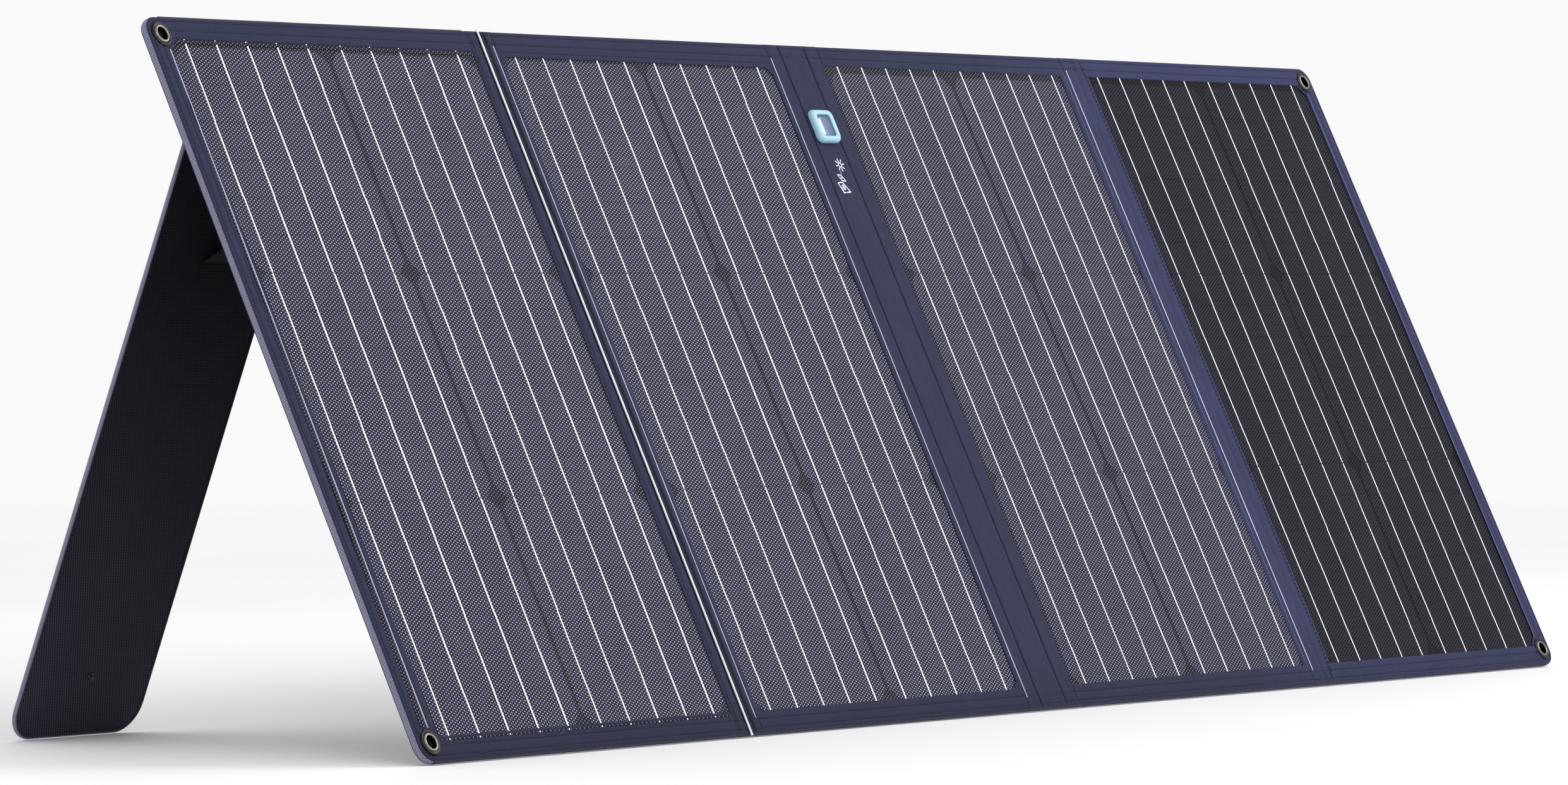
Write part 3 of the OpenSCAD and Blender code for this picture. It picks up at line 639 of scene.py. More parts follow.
def binding_profile():
    """Closed section of the folded tape as (distance from the edge, z, kind); kind 1 is the rim."""
    front = [(d, front_relief(d), 0) for d in
             (15.6, 14.5, 13, 11.6, 10.9, 10.55, 10.2, 9.85, 9.5, 8.6, 7, 5.4, 4.4, 3.95, 3.6,
              3.25, 2.8, 2.1)]
    rim = [(1.1, -0.06, 0), (0.45, -0.5, 1), (0.1, -1.3, 1), (-0.05, -2.2, 1), (-0.1, -3, 1),
           (-0.05, -3.8, 1), (0.1, -4.7, 1), (0.45, -5.5, 0), (1.1, -5.94, 0)]
    back = [(d, BACK_Z - 0.6 * front_relief(d), 0) for d in
            (2.8, 3.25, 3.6, 3.95, 4.4, 7, 9.5, 9.85, 10.2, 10.55, 11.6, 14.5)]
    edge = [(16, -5.9, 0), (16.1, -5.5, 0)]
    inner = [(15.4, -5.42, 0), (1.9, -5.42, 0), (1.25, -5.0, 0), (1.2, -1.2, 0),
             (1.9, -0.66, 0), (15.4, -0.72, 0)]
    return front + rim + back + edge + inner + [(16.15, -0.66, 0), (16.05, -0.3, 0)]


PROFILE = binding_profile()


def edge_point(d, station, x_end):
    """Point at distance d inside the outline. Stations run from the lower edge round to the upper."""
    centre = max(CORNER_R, d + 0.6)
    r = centre - d
    kind, t = station
    cx, cy = HALF_W - centre, centre
    if kind == "low":
        return x_end + (cx - x_end) * t, d
    if kind == "high":
        return cx + (x_end - cx) * t, PANEL_H - d
    if kind == "side":
        return HALF_W - d, cy + (PANEL_H - 2 * cy) * t
    a = math.radians(-90 + 90 * t) if kind == "low_corner" else math.radians(90 * t)
    oy = cy if kind == "low_corner" else PANEL_H - cy
    return cx + r * math.cos(a), oy + r * math.sin(a)


def outer_binding(side):
    """Binding of an outer panel: lower edge, outer side and upper edge in one piece."""
    stations = [("low", t) for t in np.linspace(0, 1, 58)]
    stations += [("low_corner", t) for t in np.linspace(0, 1, 11)[1:]]
    stations += [("side", t) for t in np.linspace(0, 1, 90)[1:]]
    stations += [("high_corner", t) for t in np.linspace(0, 1, 11)[1:]]
    stations += [("high", t) for t in np.linspace(0, 1, 58)[1:]]
    loops = []
    for station in stations:
        loop = []
        for d, z, kind in PROFILE:
            x, y = edge_point(d, station, OUTER_END)
            soft = wobble(x, y, 18, 0.12, 2) if z > -1 and d > 1.5 else wobble(x, y, 24, 0.05, 3)
            inward = wobble(x, y, 30, 0.25, 4) if d > 15 else 0
            if station[0] == "side":
                x -= inward
            loop.append((side * x, y, z + soft))
        loops.append(loop)
    verts, faces = loft(loops)
    mats = []
    n = len(PROFILE)
    for i in range(len(stations) - 1):
        on_side = stations[i][0] not in ("low", "high")
        for j in range(n):
            rim = PROFILE[j][2] and PROFILE[(j + 1) % n][2]
            mats.append((1 if on_side else 2) if rim else 0)
    mats += [0, 0]
    shape = Shape().add((verts, faces), mats)
    c = BORDER + 0.3
    reach = 9
    for y0, s in ((c, 1), (PANEL_H - c, -1)):
        tri = [(side * (HALF_W - c), y0), (side * (HALF_W - c - reach), y0),
               (side * (HALF_W - c), y0 + s * reach)]
        shape.add(loft([[(x, y, -0.7) for x, y in tri], [(x, y, 0.02) for x, y in tri]]))
    stitches_along(shape, side, 3)
    return shape


def stitches_along(shape, side, mat):
    """Two rows of stitches round an outer panel's edge."""
    for row in ROWS:
        path = [edge_point(row, ("low", t), OUTER_END) for t in (0, 1)]
        path += [edge_point(row, ("low_corner", t), OUTER_END) for t in (0.25, 0.5, 0.75, 1)]
        path += [edge_point(row, ("side", 1), OUTER_END)]
        path += [edge_point(row, ("high_corner", t), OUTER_END) for t in (0.25, 0.5, 0.75, 1)]
        path += [edge_point(row, ("high", 1), OUTER_END)]
        for (xa, ya), (xb, yb) in zip(path, path[1:]):
            for z, up in ((front_relief(row), 1), (BACK_Z - 0.6 * front_relief(row), -1)):
                if math.hypot(xb - xa, yb - ya) > 2.2:
                    stitch_row(shape, (side * xa, ya, z), (side * xb, yb, z), (0, 0, up), mat)


def eyelet_cut(side):
    """Cylinders that clear the bores of both eyelets."""
    shape = Shape()
    for y in (EYELET_INSET, PANEL_H - EYELET_INSET):
        loops = [rounded_loop(5.2, 5.2, 5.2, z, (side * (HALF_W - EYELET_INSET), y)) for z in (-9, 3)]
        shape.add(loft(loops))
    return shape.verts, shape.faces


def straight_binding(x0, x1):
    """Lower and upper binding of an inner panel, without the pieces at the folds."""
    shape = Shape()
    for low in (True, False):
        loops = []
        for x in np.linspace(x0, x1, 66):
            loop = []
            for d, z, kind in PROFILE:
                soft = wobble(x, d + 99 * low, 18, 0.12, 2) if z > -1 and d > 1.5 else 0
                reach = d + (wobble(x, 5 * low, 30, 0.25, 4) if d > 15 else 0)
                loop.append((x, reach if low else PANEL_H - reach, z + soft))
            loops.append(loop)
        n = len(PROFILE)
        mats = []
        for i in range(len(loops) - 1):
            mats += [2 if PROFILE[j][2] and PROFILE[(j + 1) % n][2] else 0 for j in range(n)]
        shape.add(loft(loops), mats + [0, 0])
        for row in ROWS:
            y = row if low else PANEL_H - row
            for z, up in ((front_relief(row), 1), (BACK_Z - 0.6 * front_relief(row), -1)):
                stitch_row(shape, (x0, y, z), (x1, y, z), (0, 0, up), 3)
    return shape


BINDING_MATS = ["navy", "tape", "black", "thread"]
for side, n in ((-1, 1), (1, 4)):
    make(f"binding_{n}", outer_binding(side), f"panel_{n}", BINDING_MATS, [f"edge_binding_{n}"],
         cut=eyelet_cut(side))
for n in (2, 3):
    make(f"binding_{n}", straight_binding(*WINDOWS[n]), f"panel_{n}", BINDING_MATS,
         [f"edge_binding_{n}"])


# ---- Cloth that crosses the folds ----

LEFT_GROOVES = ((OUTER_END, 0.5, 1.0), (381.2, 0.45, 0.7), (FOLD_X, 0.75, 1.0), (365.2, 0.7, 1.6),
                (INNER_END, 0.5, 1.0))
RIGHT_GROOVES = ((OUTER_END, 0.5, 1.0), (FOLD_X, 0.3, 2.6), (INNER_END, 0.5, 1.0))


def fold_relief(grooves):
    """Front relief between an inner and an outer panel, as a function of distance from the middle."""
    def relief(x):
        return 0.25 - sum(depth * math.exp(-((x - at) / width) ** 2) for at, depth, width in grooves)
    return relief


def spine_relief(x):
    z = 0.25
    for at, depth, width in ((SPINE_END, 0.5, 1.0), (SPINE_X, 0.6, 0.9)):
        z -= depth * math.exp(-((abs(x) - at) / width) ** 2)
    return z


def sleeve(x0, x1, relief, seams, painted_shade_bands, side=1, seam_mat=3):
    """Front and back cloth at a fold, joined over the edges: a flat tube that runs across the fold."""
    inner_y = np.linspace(BORDER, PANEL_H - BORDER, 96)[1:-1]
    front_d = [(d, z, k) for d, z, k in PROFILE[:PROFILE.index((16, -5.9, 0))]]
    rim_first = [p for p in reversed(front_d)]
    outer = []
    # round the lower edge from back to front, up the front, over the upper edge, down the back
    for d, z, kind in rim_first:
        outer.append((d, z, kind, z > -0.6))
    outer += [(y, None, 0, True) for y in inner_y]
    for d, z, kind in front_d:
        outer.append((PANEL_H - d, z, kind, z > -0.6))
    outer += [(y, None, 0, False) for y in inner_y[::-1]]
    xs = np.linspace(x0, x1, int((x1 - x0) / 0.55) + 1)
    loops, n = [], len(outer)
    for x in xs:
        out_loop, in_loop = [], []
        for y, z, kind, front in outer:
            d = min(y, PANEL_H - y)
            ease = min(max(d / 3, 0), 1)
            pucker = wobble(x * 1.6, y, 9, 0.16, 5)
            if front:
                base = (z if z is not None else 0.0)
                top = base * (0.5 if z is not None else 1) + relief(x) * ease + pucker * ease
            else:
                top = z if z is not None else BACK_Z
                top -= (0.45 * relief(x) + pucker) * ease if z is None or z < BACK_Z + 0.2 else 0
            out_loop.append((side * x, y, top))
            if front or (z is not None and z > -3):
                iz = min(top, 0) - LIP - 0.1 if front else -0.75
            else:
                iz = BACK_Z + LIP
            iy = min(max(y, 1.2), PANEL_H - 1.2)
            in_loop.append((side * x, iy, max(min(iz, -0.7), BACK_Z + LIP)))
        loops.append(out_loop + in_loop)
    loops = np.array(loops)
    m = len(xs)
    faces, mats = [], []
    for i in range(m - 1):
        a, b = i * 2 * n, (i + 1) * 2 * n
        middle = (xs[i] + xs[i + 1]) / 2
        # Front faces inside the listed bands take the darker navy: painted shade in the fold's grooves.
        dark = any(lo <= middle <= hi for lo, hi in painted_shade_bands)
        for j in range(n):
            k = (j + 1) % n
            faces.append((a + j, a + k, b + k, b + j))
            rim = outer[j][2] and outer[k][2]
            front = outer[j][3] and outer[k][3]
            back = not outer[j][3] and not outer[k][3] and BORDER < outer[j][0] < PANEL_H - BORDER
            mats.append(2 if rim or back else (1 if dark and front else 0))
            faces.append((a + n + k, a + n + j, b + n + j, b + n + k))
            mats.append(2)
    for i, flip in ((0, 1), (m - 1, -1)):
        a = i * 2 * n
        for j in range(n):
            k = (j + 1) % n
            face = (a + j, a + n + j, a + n + k, a + k)
            faces.append(face[::flip])
            mats.append(2)
    shape = Shape().add((loops.reshape(-1, 3), faces), mats)
    for x, low, high in seams:
        stitch_row(shape, (side * x, low, relief(x) + 0.05), (side * x, high, relief(x) + 0.05),
                   (0, 0, 1), seam_mat)
    for row in ROWS:
        for y in (row, PANEL_H - row):
            for z, up in ((0.5 * front_relief(row) + 0.2, 1), (BACK_Z - 0.3 * front_relief(row), -1)):
                stitch_row(shape, (side * x0, y, z), (side * x1, y, z), (0, 0, up), seam_mat)
    return shape


FOLD_MATS = ["navy", "shaded_navy", "black", "thread"]
FOLD_EASE = 7.5
full = (BORDER - 8, PANEL_H - BORDER + 8)
# The last item of each row lists bands of painted shade in the fold's grooves.
for side, inner, outer, name, grooves, rows_at, dark in (
        (-1, 2, 1, "left", LEFT_GROOVES, (381.2,), [(371, 373.4), (363.4, 368.2)]),
        (1, 3, 4, "right", RIGHT_GROOVES, (386,), [])):
    seams = [(x, *full) for x in rows_at]
    shape = sleeve(INNER_END, OUTER_END, fold_relief(grooves), seams, dark, side)
    make(f"fold_cloth_{name}", shape, None, FOLD_MATS,
         [f"fold_bands_{inner}", f"fold_bands_{outer}"],
         bend=(f"panel_{inner}", f"panel_{outer}",
               (side * (FOLD_X - FOLD_EASE), 0, 0), (side * (FOLD_X + FOLD_EASE), 0, 0)))
for side, body_a, body_b, n in ((-1, "panel_2", "spine", 2), (1, "spine", "panel_3", 3)):
    seams = [(16.4, *full)]
    # The band from 15.3 to 16.9 is painted shade in the spine's seam groove.
    shape = sleeve(0, SPINE_END, spine_relief, seams, [(15.3, 16.9)], side)
    ends = (side * (SPINE_X + FOLD_EASE), 0, 0), (side * (SPINE_X - FOLD_EASE), 0, 0)
    if side > 0:
        ends = ends[::-1]
    make(f"spine_cloth_{n}", shape, None, FOLD_MATS, [f"fold_bands_{n}", "spine_band", "spine_back"],
         bend=(body_a, body_b, *ends))


# ---- Piping, eyelets, sun sight ----

def tube(path, radius, sides=10, twist=0.0, ridge=0.0):
    """A round cord along a straight or bent path of points."""
    loops = []
    path = [Vector(p) for p in path]
    for i, p in enumerate(path):
        along = (path[min(i + 1, len(path) - 1)] - path[max(i - 1, 0)]).normalized()
        first = along.cross(Vector((0, 0, 1)))
        first = (first if first.length > 0.1 else along.cross(Vector((1, 0, 0)))).normalized()
        second = first.cross(along)
        loop = []
        for j in range(sides):
            a = 2 * math.pi * j / sides
            r = radius * (1 + ridge * math.cos(3 * a + twist * i))
            loop.append(p + first * r * math.cos(a) + second * r * math.sin(a))
        loops.append([tuple(v) for v in loop])
    return loft(loops)


lo, hi = span("fold_piping")
px, pr = (lo[0] + hi[0]) / 2, (hi[0] - lo[0]) / 2
cord = Shape().add(tube([(px, y, pr * 0.86) for y in np.linspace(lo[1] - 1.2, hi[1] + 0.8, 300)],
                        pr * 0.82, 10, 0.7, 0.05))
make("piping_cord", cord, None, ["cord"], ["fold_piping"], angle=80,
     bend=("panel_2", "panel_1", (-(FOLD_X - FOLD_EASE), 0, 0), (-(FOLD_X + FOLD_EASE), 0, 0)))


def eyelet_shape(side):
    shape = Shape()
    bore, z0, z1 = 4.5, -THICK - 0.7, 0.7
    rim = [(bore, z0), (bore, z1 + 0.3), (bore + 0.25, z1 + 0.75), (bore + 0.8, z1 + 0.95),
           (bore + 1.4, z1 + 0.8), (bore + 1.85, z1 + 0.35), (bore + 1.95, z1 - 0.1),
           (bore + 0.8, z1 - 0.2), (bore + 0.8, z0 + 0.2), (bore + 1.95, z0 + 0.1),
           (bore + 1.85, z0 - 0.35), (bore + 1.4, z0 - 0.8), (bore + 0.8, z0 - 0.95),
           (bore + 0.25, z0 - 0.75)]
    for y in (EYELET_INSET, PANEL_H - EYELET_INSET):
        centre = (side * (HALF_W - EYELET_INSET), y, 0)
        verts, faces = lathe(rim, 64, centre)
        from_axis = np.hypot(*(np.asarray(verts)[:, :2] - centre[:2]).T)
        # The bore's walls take the dark flange finish: painted shade inside the hole.
        shape.add((verts, faces), [1 if from_axis[list(f)].max() < bore + 0.1 else 0 for f in faces])
    return shape


def washer_shape(side):
    shape = Shape()
    inner, outer = 5.4, 9.1
    for y in (EYELET_INSET, PANEL_H - EYELET_INSET):
        for z, s in ((0, 1), (-THICK, -1)):
            dome = [(inner, z), (inner, z + s * 0.62), (6.9, z + s * 0.72), (7.7, z + s * 0.98),
                    (8.4, z + s * 0.9), (8.9, z + s * 0.55), (outer, z + s * 0.1), (outer, z - s * 0.1)]
            shape.add(lathe(dome, 64, (side * (HALF_W - EYELET_INSET), y, 0)))
    return shape


for side, name, n in ((-1, "left", 1), (1, "right", 4)):
    make(f"eyelet_rims_{name}", eyelet_shape(side), f"panel_{n}", ["rim", "flange"], [f"eyelets_{name}"],
         angle=50)
    make(f"eyelet_flanges_{name}", washer_shape(side), f"panel_{n}", ["flange"],
         [f"eyelet_washers_{name}"], angle=50)

lo, hi = span("sight_frame")
sight = ((lo[0] + hi[0]) / 2, (lo[1] + hi[1]) / 2)
sw, sh, st = (hi[0] - lo[0]) / 2, (hi[1] - lo[1]) / 2, hi[2]
WINDOW_W, WINDOW_H = 8, 8.5
rows = [(sw - 0.3, sh - 0.3, 4.8, 0.05), (sw, sh, 5, 0.6), (sw, sh, 5, 2.0),
        (sw - 0.15, sh - 0.15, 5, 3.2), (sw - 0.7, sh - 0.7, 4.8, 4.2), (sw - 1.6, sh - 1.6, 4.4, 4.85),
        (sw - 2.3, sh - 2.3, 3.8, st), (WINDOW_W + 0.8, WINDOW_H + 0.8, 3, st - 0.03),
        (WINDOW_W + 0.25, WINDOW_H + 0.25, 2.7, st - 0.3), (WINDOW_W, WINDOW_H, 2.5, st - 0.9),
        (WINDOW_W, WINDOW_H, 2.5, st - 1.2), (WINDOW_W, WINDOW_H, 2.5, 1.0)]
verts, faces = loft([rounded_loop(a, b, r, z, sight, 8) for a, b, r, z in rows])
# The lowest inner walls and the window's floor take the grey-blue colour: painted shade inside the window.
walls = len(faces) - 2 - (len(faces) - 2) // (len(rows) - 1) * 2
make("sight", Shape().add((verts, faces), [0] * walls + [1] * (len(faces) - 2 - walls) + [0, 1]),
     "spine", ["rubber", "plate"], ["sight_frame"], angle=60, smooth=1)
plate = Shape().add(soft_block((sight[0] - 7.7, sight[0] + 7.7), (sight[1] - 8.2, sight[1] + 8.2),
                               (1.0, 1.6), 2.3, 0.2))
# White block at the window's left side: a painted highlight for the lit strip there, in the white print colour.
plate.add(soft_block((sight[0] - 7.5, sight[0] - 4.2), (sight[1] - 7.4, sight[1] + 5.2), (1.5, 4.0), 1, 0.4), 2)
plate.add(lathe([(0.01, 1.6), (1.1, 1.6), (1.0, 3.2), (0.75, 3.7), (0.3, 3.85), (0.01, 3.85)], 24,
                (sight[0] - 4.6, sight[1] + 5.6, 0)), 1)
make("sight_floor", plate, "spine", ["plate", "post", "print"], ["sight_plate"])


def printed(shape, points, width, closed=False):
    """A printed line that follows the spine cloth's front."""
    points = points + points[:1] if closed else points
    for (xa, ya), (xb, yb) in zip(points, points[1:]):
        along = Vector((xb - xa, yb - ya)).normalized()
        off = Vector((-along.y, along.x)) * width / 2
        along *= width / 2.4
        corners = [(xa - along.x + off.x, ya - along.y + off.y), (xb + along.x + off.x, yb + along.y + off.y),
                   (xb + along.x - off.x, yb + along.y - off.y), (xa - along.x - off.x, ya - along.y - off.y)]
        loops = []
        for lift in (-0.3, 0.06):
            loops.append([(x, y, spine_relief(abs(x)) + wobble(abs(x) * 1.6, y, 9, 0.16, 5) + lift)
                          for x, y in corners])
        shape.add(loft(loops))


def ring_points(x, y, r, count=20):
    return [(x + r * math.cos(2 * math.pi * i / count), y + r * math.sin(2 * math.pi * i / count))
            for i in range(count)]


SUN = (3.2, 428)
symbol = Shape()
printed(symbol, ring_points(*SUN, 1.7), 0.75, True)
for i in range(8):
    a = math.radians(45 * i + 8)
    printed(symbol, [(SUN[0] + r * math.cos(a), SUN[1] + r * math.sin(a)) for r in (2.8, 4.9)], 0.85)
for x, y in ((0.9, 422.4), (0.1, 420.8)):
    printed(symbol, [(x, y), (x + 0.1, y)], 0.7)
printed(symbol, [(-5.1, 420), (-0.6, 419.6), (2.4, 414.9), (-2.2, 415.3)], 0.7, True)
printed(symbol, ring_points(-1.3, 417.5, 0.7, 12), 0.5, True)
printed(symbol, [(-8.4, 413.4), (-2.6, 413.9), (3.0, 406.2), (-5.4, 405.5)], 0.9, True)
printed(symbol, ring_points(-3.4, 409.8, 2.0), 0.6, True)
printed(symbol, ring_points(-3.4, 409.8, 0.8, 12), 0.6, True)
make("symbol", symbol, "spine", ["print"], ["sight_symbol"])


# ---- Narrow strips and pale lines beside the windows ----

def strip(shape, left, right, y0, y1, top, mat, steps=60, across=False):
    """Thin cloth strip. left and right are (at y0, at y1). With across, x and y swap."""
    loops = []
    for t in np.linspace(0, 1, steps):
        y = y0 + (y1 - y0) * t
        a, b = left[0] + (left[1] - left[0]) * t, right[0] + (right[1] - right[0]) * t
        b = max(b, a + 0.12)
        a, b = a + wobble(y, a, 25, 0.12, 41), b + wobble(y, b, 25, 0.12, 42)
        soft = min(0.3, (b - a) / 3)
        z = top + wobble(a, y, 14, 0.05, 43)
        ring = [(a, z - 0.6), (a, z - 0.18), (a + soft, z), (b - soft, z), (b, z - 0.18), (b, z - 0.6)]
        loops.append([(y, q, h) if across else (q, y, h) for q, h in ring])
    shape.add(loft(loops), mat)


def corner_flap(shape, x, y, dx, dy, top, mat):
    tri = [(x, y), (x + dx, y), (x, y + dy)]
    shape.add(loft([[(a, b, top - 0.6) for a, b in tri], [(a, b, top) for a, b in tri]]), mat)


def ribbon_places(n):
    mid = sum(WINDOWS[n]) / 2
    return [mid + side * COLUMN_PITCH / 2 + (i - (RIBBONS - 1) / 2) * CELL_W / RIBBONS
            for side in (-1, 1) for i in range(RIBBONS)]


# The second colour, the darker navy, paints shadow lines beside the strips and laminate edges.
TRIM_MATS = ["navy", "shaded_navy", "pale_line", "film", "ribbon", "dim_line"]
OVER_SHEET = 0.02
trim = Shape()
strip(trim, (-707.6, -707.6), (-706.7, -706.7), 23, 501, 0.55, 2)
strip(trim, (-706.5, -706.5), (-699.6, -706.2), 17, 500, OVER_SHEET, 0)
strip(trim, (-699.7, -706.3), (-698.9, -705.6), 17, 500, OVER_SHEET - 0.1, 1)
strip(trim, (-714.2, -708.2), (-708.2, -708.0), 23, 466, 0.5, 3)
strip(trim, (13.6, 13.6), (14.5, 14.5), -700, -388, 0.45, 3, across=True)
strip(trim, (14.8, 14.8), (16.6, 16.6), -700, -386, 0.3, 0, across=True)
strip(trim, (505.8, 505.8), (508.5, 508.5), -700, -385, OVER_SHEET - 0.05, 3, across=True)
for x in ribbon_places(1):
    trim.add(soft_block((x - 1.6, x - 0.6), (13.5, 14.6), (0.2, 0.62), 0.3, 0.1, 2), 4)
trim.add(tube([(x, PANEL_H + 0.1 + wobble(x, 0, 40, 0.15, 44), -2.6) for x in np.linspace(-704, -385, 60)],
              1.1), 6)
make("trim_1", trim, "panel_1", [*TRIM_MATS, "cable"], ())

trim = Shape()
strip(trim, (-359.2, -359.2), (-358.4, -358.4), 11, 513.5, 0.55, 2)
strip(trim, (-357.5, -357.5), (-354.2, -355.4), 14, 511, OVER_SHEET, 0)
strip(trim, (-354.1, -355.2), (-353.5, -354.8), 17, 452, OVER_SHEET + 0.05, 5)
strip(trim, (505.6, 505.6), (509.6, 509.6), -356, -33, 0.1, 0, across=True)
strip(trim, (509.0, 509.0), (509.6, 509.6), -356, -33, 0.2, 1, across=True)
strip(trim, (-35.6, -35.6), (-31.4, -31.4), 14, 511, OVER_SHEET, 0)
strip(trim, (-36.2, -36.2), (-35.5, -35.5), 16, 509, OVER_SHEET - 0.05, 1)
strip(trim, (-30.7, -30.7), (-29.8, -29.8), 9, 513.5, 0.55, 2)
for x, s_ in ((-355, 1), (-35.6, -1)):
    corner_flap(trim, x, 15, s_ * 7, 7, OVER_SHEET, 0)
    corner_flap(trim, x, 506.5, s_ * 7, -6.5, OVER_SHEET, 0)
make("trim_2", trim, "panel_2", TRIM_MATS, ())

trim = Shape()
strip(trim, (32.6, 32.6), (33.7, 33.7), 14, 511, OVER_SHEET, 1)
strip(trim, (349.8, 348.8), (357, 357), 14, 511, OVER_SHEET, 0)
strip(trim, (354.5, 354.5), (355.3, 355.3), 13, 512, OVER_SHEET + 0.25, 5)
strip(trim, (359.7, 359.7), (360.7, 360.7), 11, 513.5, 0.55, 2)
make("trim_3", trim, "panel_3", TRIM_MATS, ())

trim = Shape()
strip(trim, (383, 383), (388.8, 388.8), 14, 511, OVER_SHEET, 0)
strip(trim, (388.7, 388.7), (389.6, 389.6), 15, 510, OVER_SHEET - 0.08, 1)
strip(trim, (705.9, 707.8), (707, 708.9), 23, 501, 0.5, 5)
make("trim_4", trim, "panel_4", TRIM_MATS, ())


# ---- Back cloth ----

def back_shape(x0, x1, corner_side=0):
    """Back cloth between the folds and the binding: slightly slack."""
    y0, y1 = BORDER - 2, PANEL_H - BORDER + 2
    loops = []
    for y in np.linspace(y0, y1, 72):
        near = min(y - y0, y1 - y)
        cut = max(0, 11 - near) if corner_side else 0
        left = x0 + (cut if corner_side < 0 else 0)
        right = x1 - (cut if corner_side > 0 else 0)
        outside, inside = [], []
        for x in np.linspace(left, right, 56):
            slack = wobble(x, y, 55, 0.5, 8) + wobble(x, y, 17, 0.16, 9)
            edge = min(near, x - left, right - x) / 8
            outside.append((x, y, BACK_CLOTH_Z - 0.15 + slack * min(edge, 1) * 0.6))
            inside.append((x, y, BACK_CLOTH_Z + 0.5))
        loops.append(outside + inside[::-1])
    return Shape().add(loft(loops))


for n, (window, corner) in {1: (WINDOWS[1], -1), 2: (WINDOWS[2], 0), 3: (WINDOWS[3], 0),
                            4: (WINDOWS[4], 1)}.items():
    x0 = window[0] - (2 if corner < 0 else 0)
    x1 = window[1] + (2 if corner > 0 else 0)
    make(f"back_cloth_{n}", back_shape(x0, x1, corner), f"panel_{n}", ["black"],
         [f"back_cover_{n}"], angle=60)


# ---- Kickstands ----

LEG_OPEN = math.radians(joints["leg_swing_left"]["range_deg"][1])
LEG_W = 130
LEG_T = 3
FOOT_R = 22
leg_hinge = joint_at("leg_swing_right")
foot = span("leg_cover_right")[0]
LEG_LEN = 452.2


def leg_place(side):
    """Kickstand frame: origin on the hinge line, kickstand along -y, inner face at z = 0."""
    at = Matrix.Translation((side * leg_hinge[0], leg_hinge[1], leg_hinge[2]))
    return PANEL @ at @ Matrix.Rotation(LEG_OPEN, 4, "X")


def leg_outline(inset, top):
    """Square at the hinge, rounded at the foot."""
    h, r = LEG_W / 2 - inset, FOOT_R - inset
    low = inset - LEG_LEN
    points = [(h, top)]
    for start, cx in ((0, h - r), (-90, r - h)):
        for i in range(11):
            a = math.radians(start - 9 * i)
            points.append((cx + r * math.cos(a), low + r + r * math.sin(a)))
    points.append((-h, top))
    return points


def leg_shape():
    shape = Shape()
    top = -0.6
    sections = ((4.4, -0.02), (3.6, -0.22), (2.8, 0.0), (1.4, 0.0), (0.5, -0.25), (0.1, -0.8),
                (0.0, -1.5), (0.1, -2.2), (0.5, -2.75), (1.4, -3.0), (2.8, -3.0), (3.6, -2.8),
                (4.4, -3.0))
    loops = [[(x, y, z) for x, y in leg_outline(inset, top - min(inset, 0.8))] for inset, z in sections]
    verts, faces = loft(loops)
    n = len(loops[0])
    mats = []
    for i in range(len(loops) - 1):
        mats += [1 if 3 <= i <= 8 else 0] * n
    shape.add((verts, faces), mats + [0, 0])
    row = leg_outline(3.6, -6)
    for a, b in zip(row, row[1:]):
        if math.dist(a, b) > 2:
            for z, up in ((-0.16, 1), (-2.86, -1)):
                stitch_row(shape, (*a, z), (*b, z), (0, 0, up), 2)
    return shape


def stud_shape():
    profile = [(0.01, -0.1), (3.3, -0.1), (3.3, 0.2), (3.0, 0.4), (2.4, 0.42), (1.8, 0.8),
               (1.7, 1.4), (2.1, 1.9), (1.8, 2.3), (1.1, 2.42), (0.01, 2.42)]
    return Shape().add(lathe(profile, 40, (0, 43 - LEG_LEN, 0)))


LEG_MID = leg_hinge[0]
STRIP_LOW, STRIP_HIGH = leg_hinge[1] + 0.3, span("leg_hinge_strip_right")[1][1]
stay_pin = joint_at("stay_swing_right")
STAY_OPEN = math.radians(joints["stay_swing_right"]["range_deg"][1])
STAY_LEN = 83
STAY_W = 25


def ribbon_shape(path, x0, x1, thick, crown=0.0, across=14):
    """A webbing or cloth strip along a path of (y, z) points, with rounded edges."""
    shape_loops = []
    path = [Vector((0, y, z)) for y, z in path]
    for i, p in enumerate(path):
        along = (path[min(i + 1, len(path) - 1)] - path[max(i - 1, 0)]).normalized()
        out = Vector((1, 0, 0)).cross(along)
        top, bottom = [], []
        for j in range(across + 1):
            u = j / across
            edge = min(u, 1 - u) * (x1 - x0)
            half = thick / 2 * min(1, 0.25 + edge / (thick * 0.9)) + crown * math.sin(math.pi * u)
            x = x0 + (x1 - x0) * u
            top.append(p + Vector((x, 0, 0)) + out * half)
            bottom.append(p + Vector((x, 0, 0)) - out * half)
        shape_loops.append([tuple(v) for v in top + bottom[::-1]])
    return loft(shape_loops)


def box_stitch(shape, x, y, z, up, mat, cross=True):
    """A sewn box with a cross in it."""
    corners = [(x[0], y[0], z), (x[1], y[0], z), (x[1], y[1], z), (x[0], y[1], z)]
    for a, b in zip(corners, corners[1:] + corners[:1]):
        stitch_row(shape, a, b, (0, 0, up), mat, 2.6, length=2.0, width=0.6)
    if cross:
        for a, b in ((0, 2), (1, 3)):
            stitch_row(shape, corners[a], corners[b], (0, 0, up), mat, 2.6, length=2.0, width=0.6)


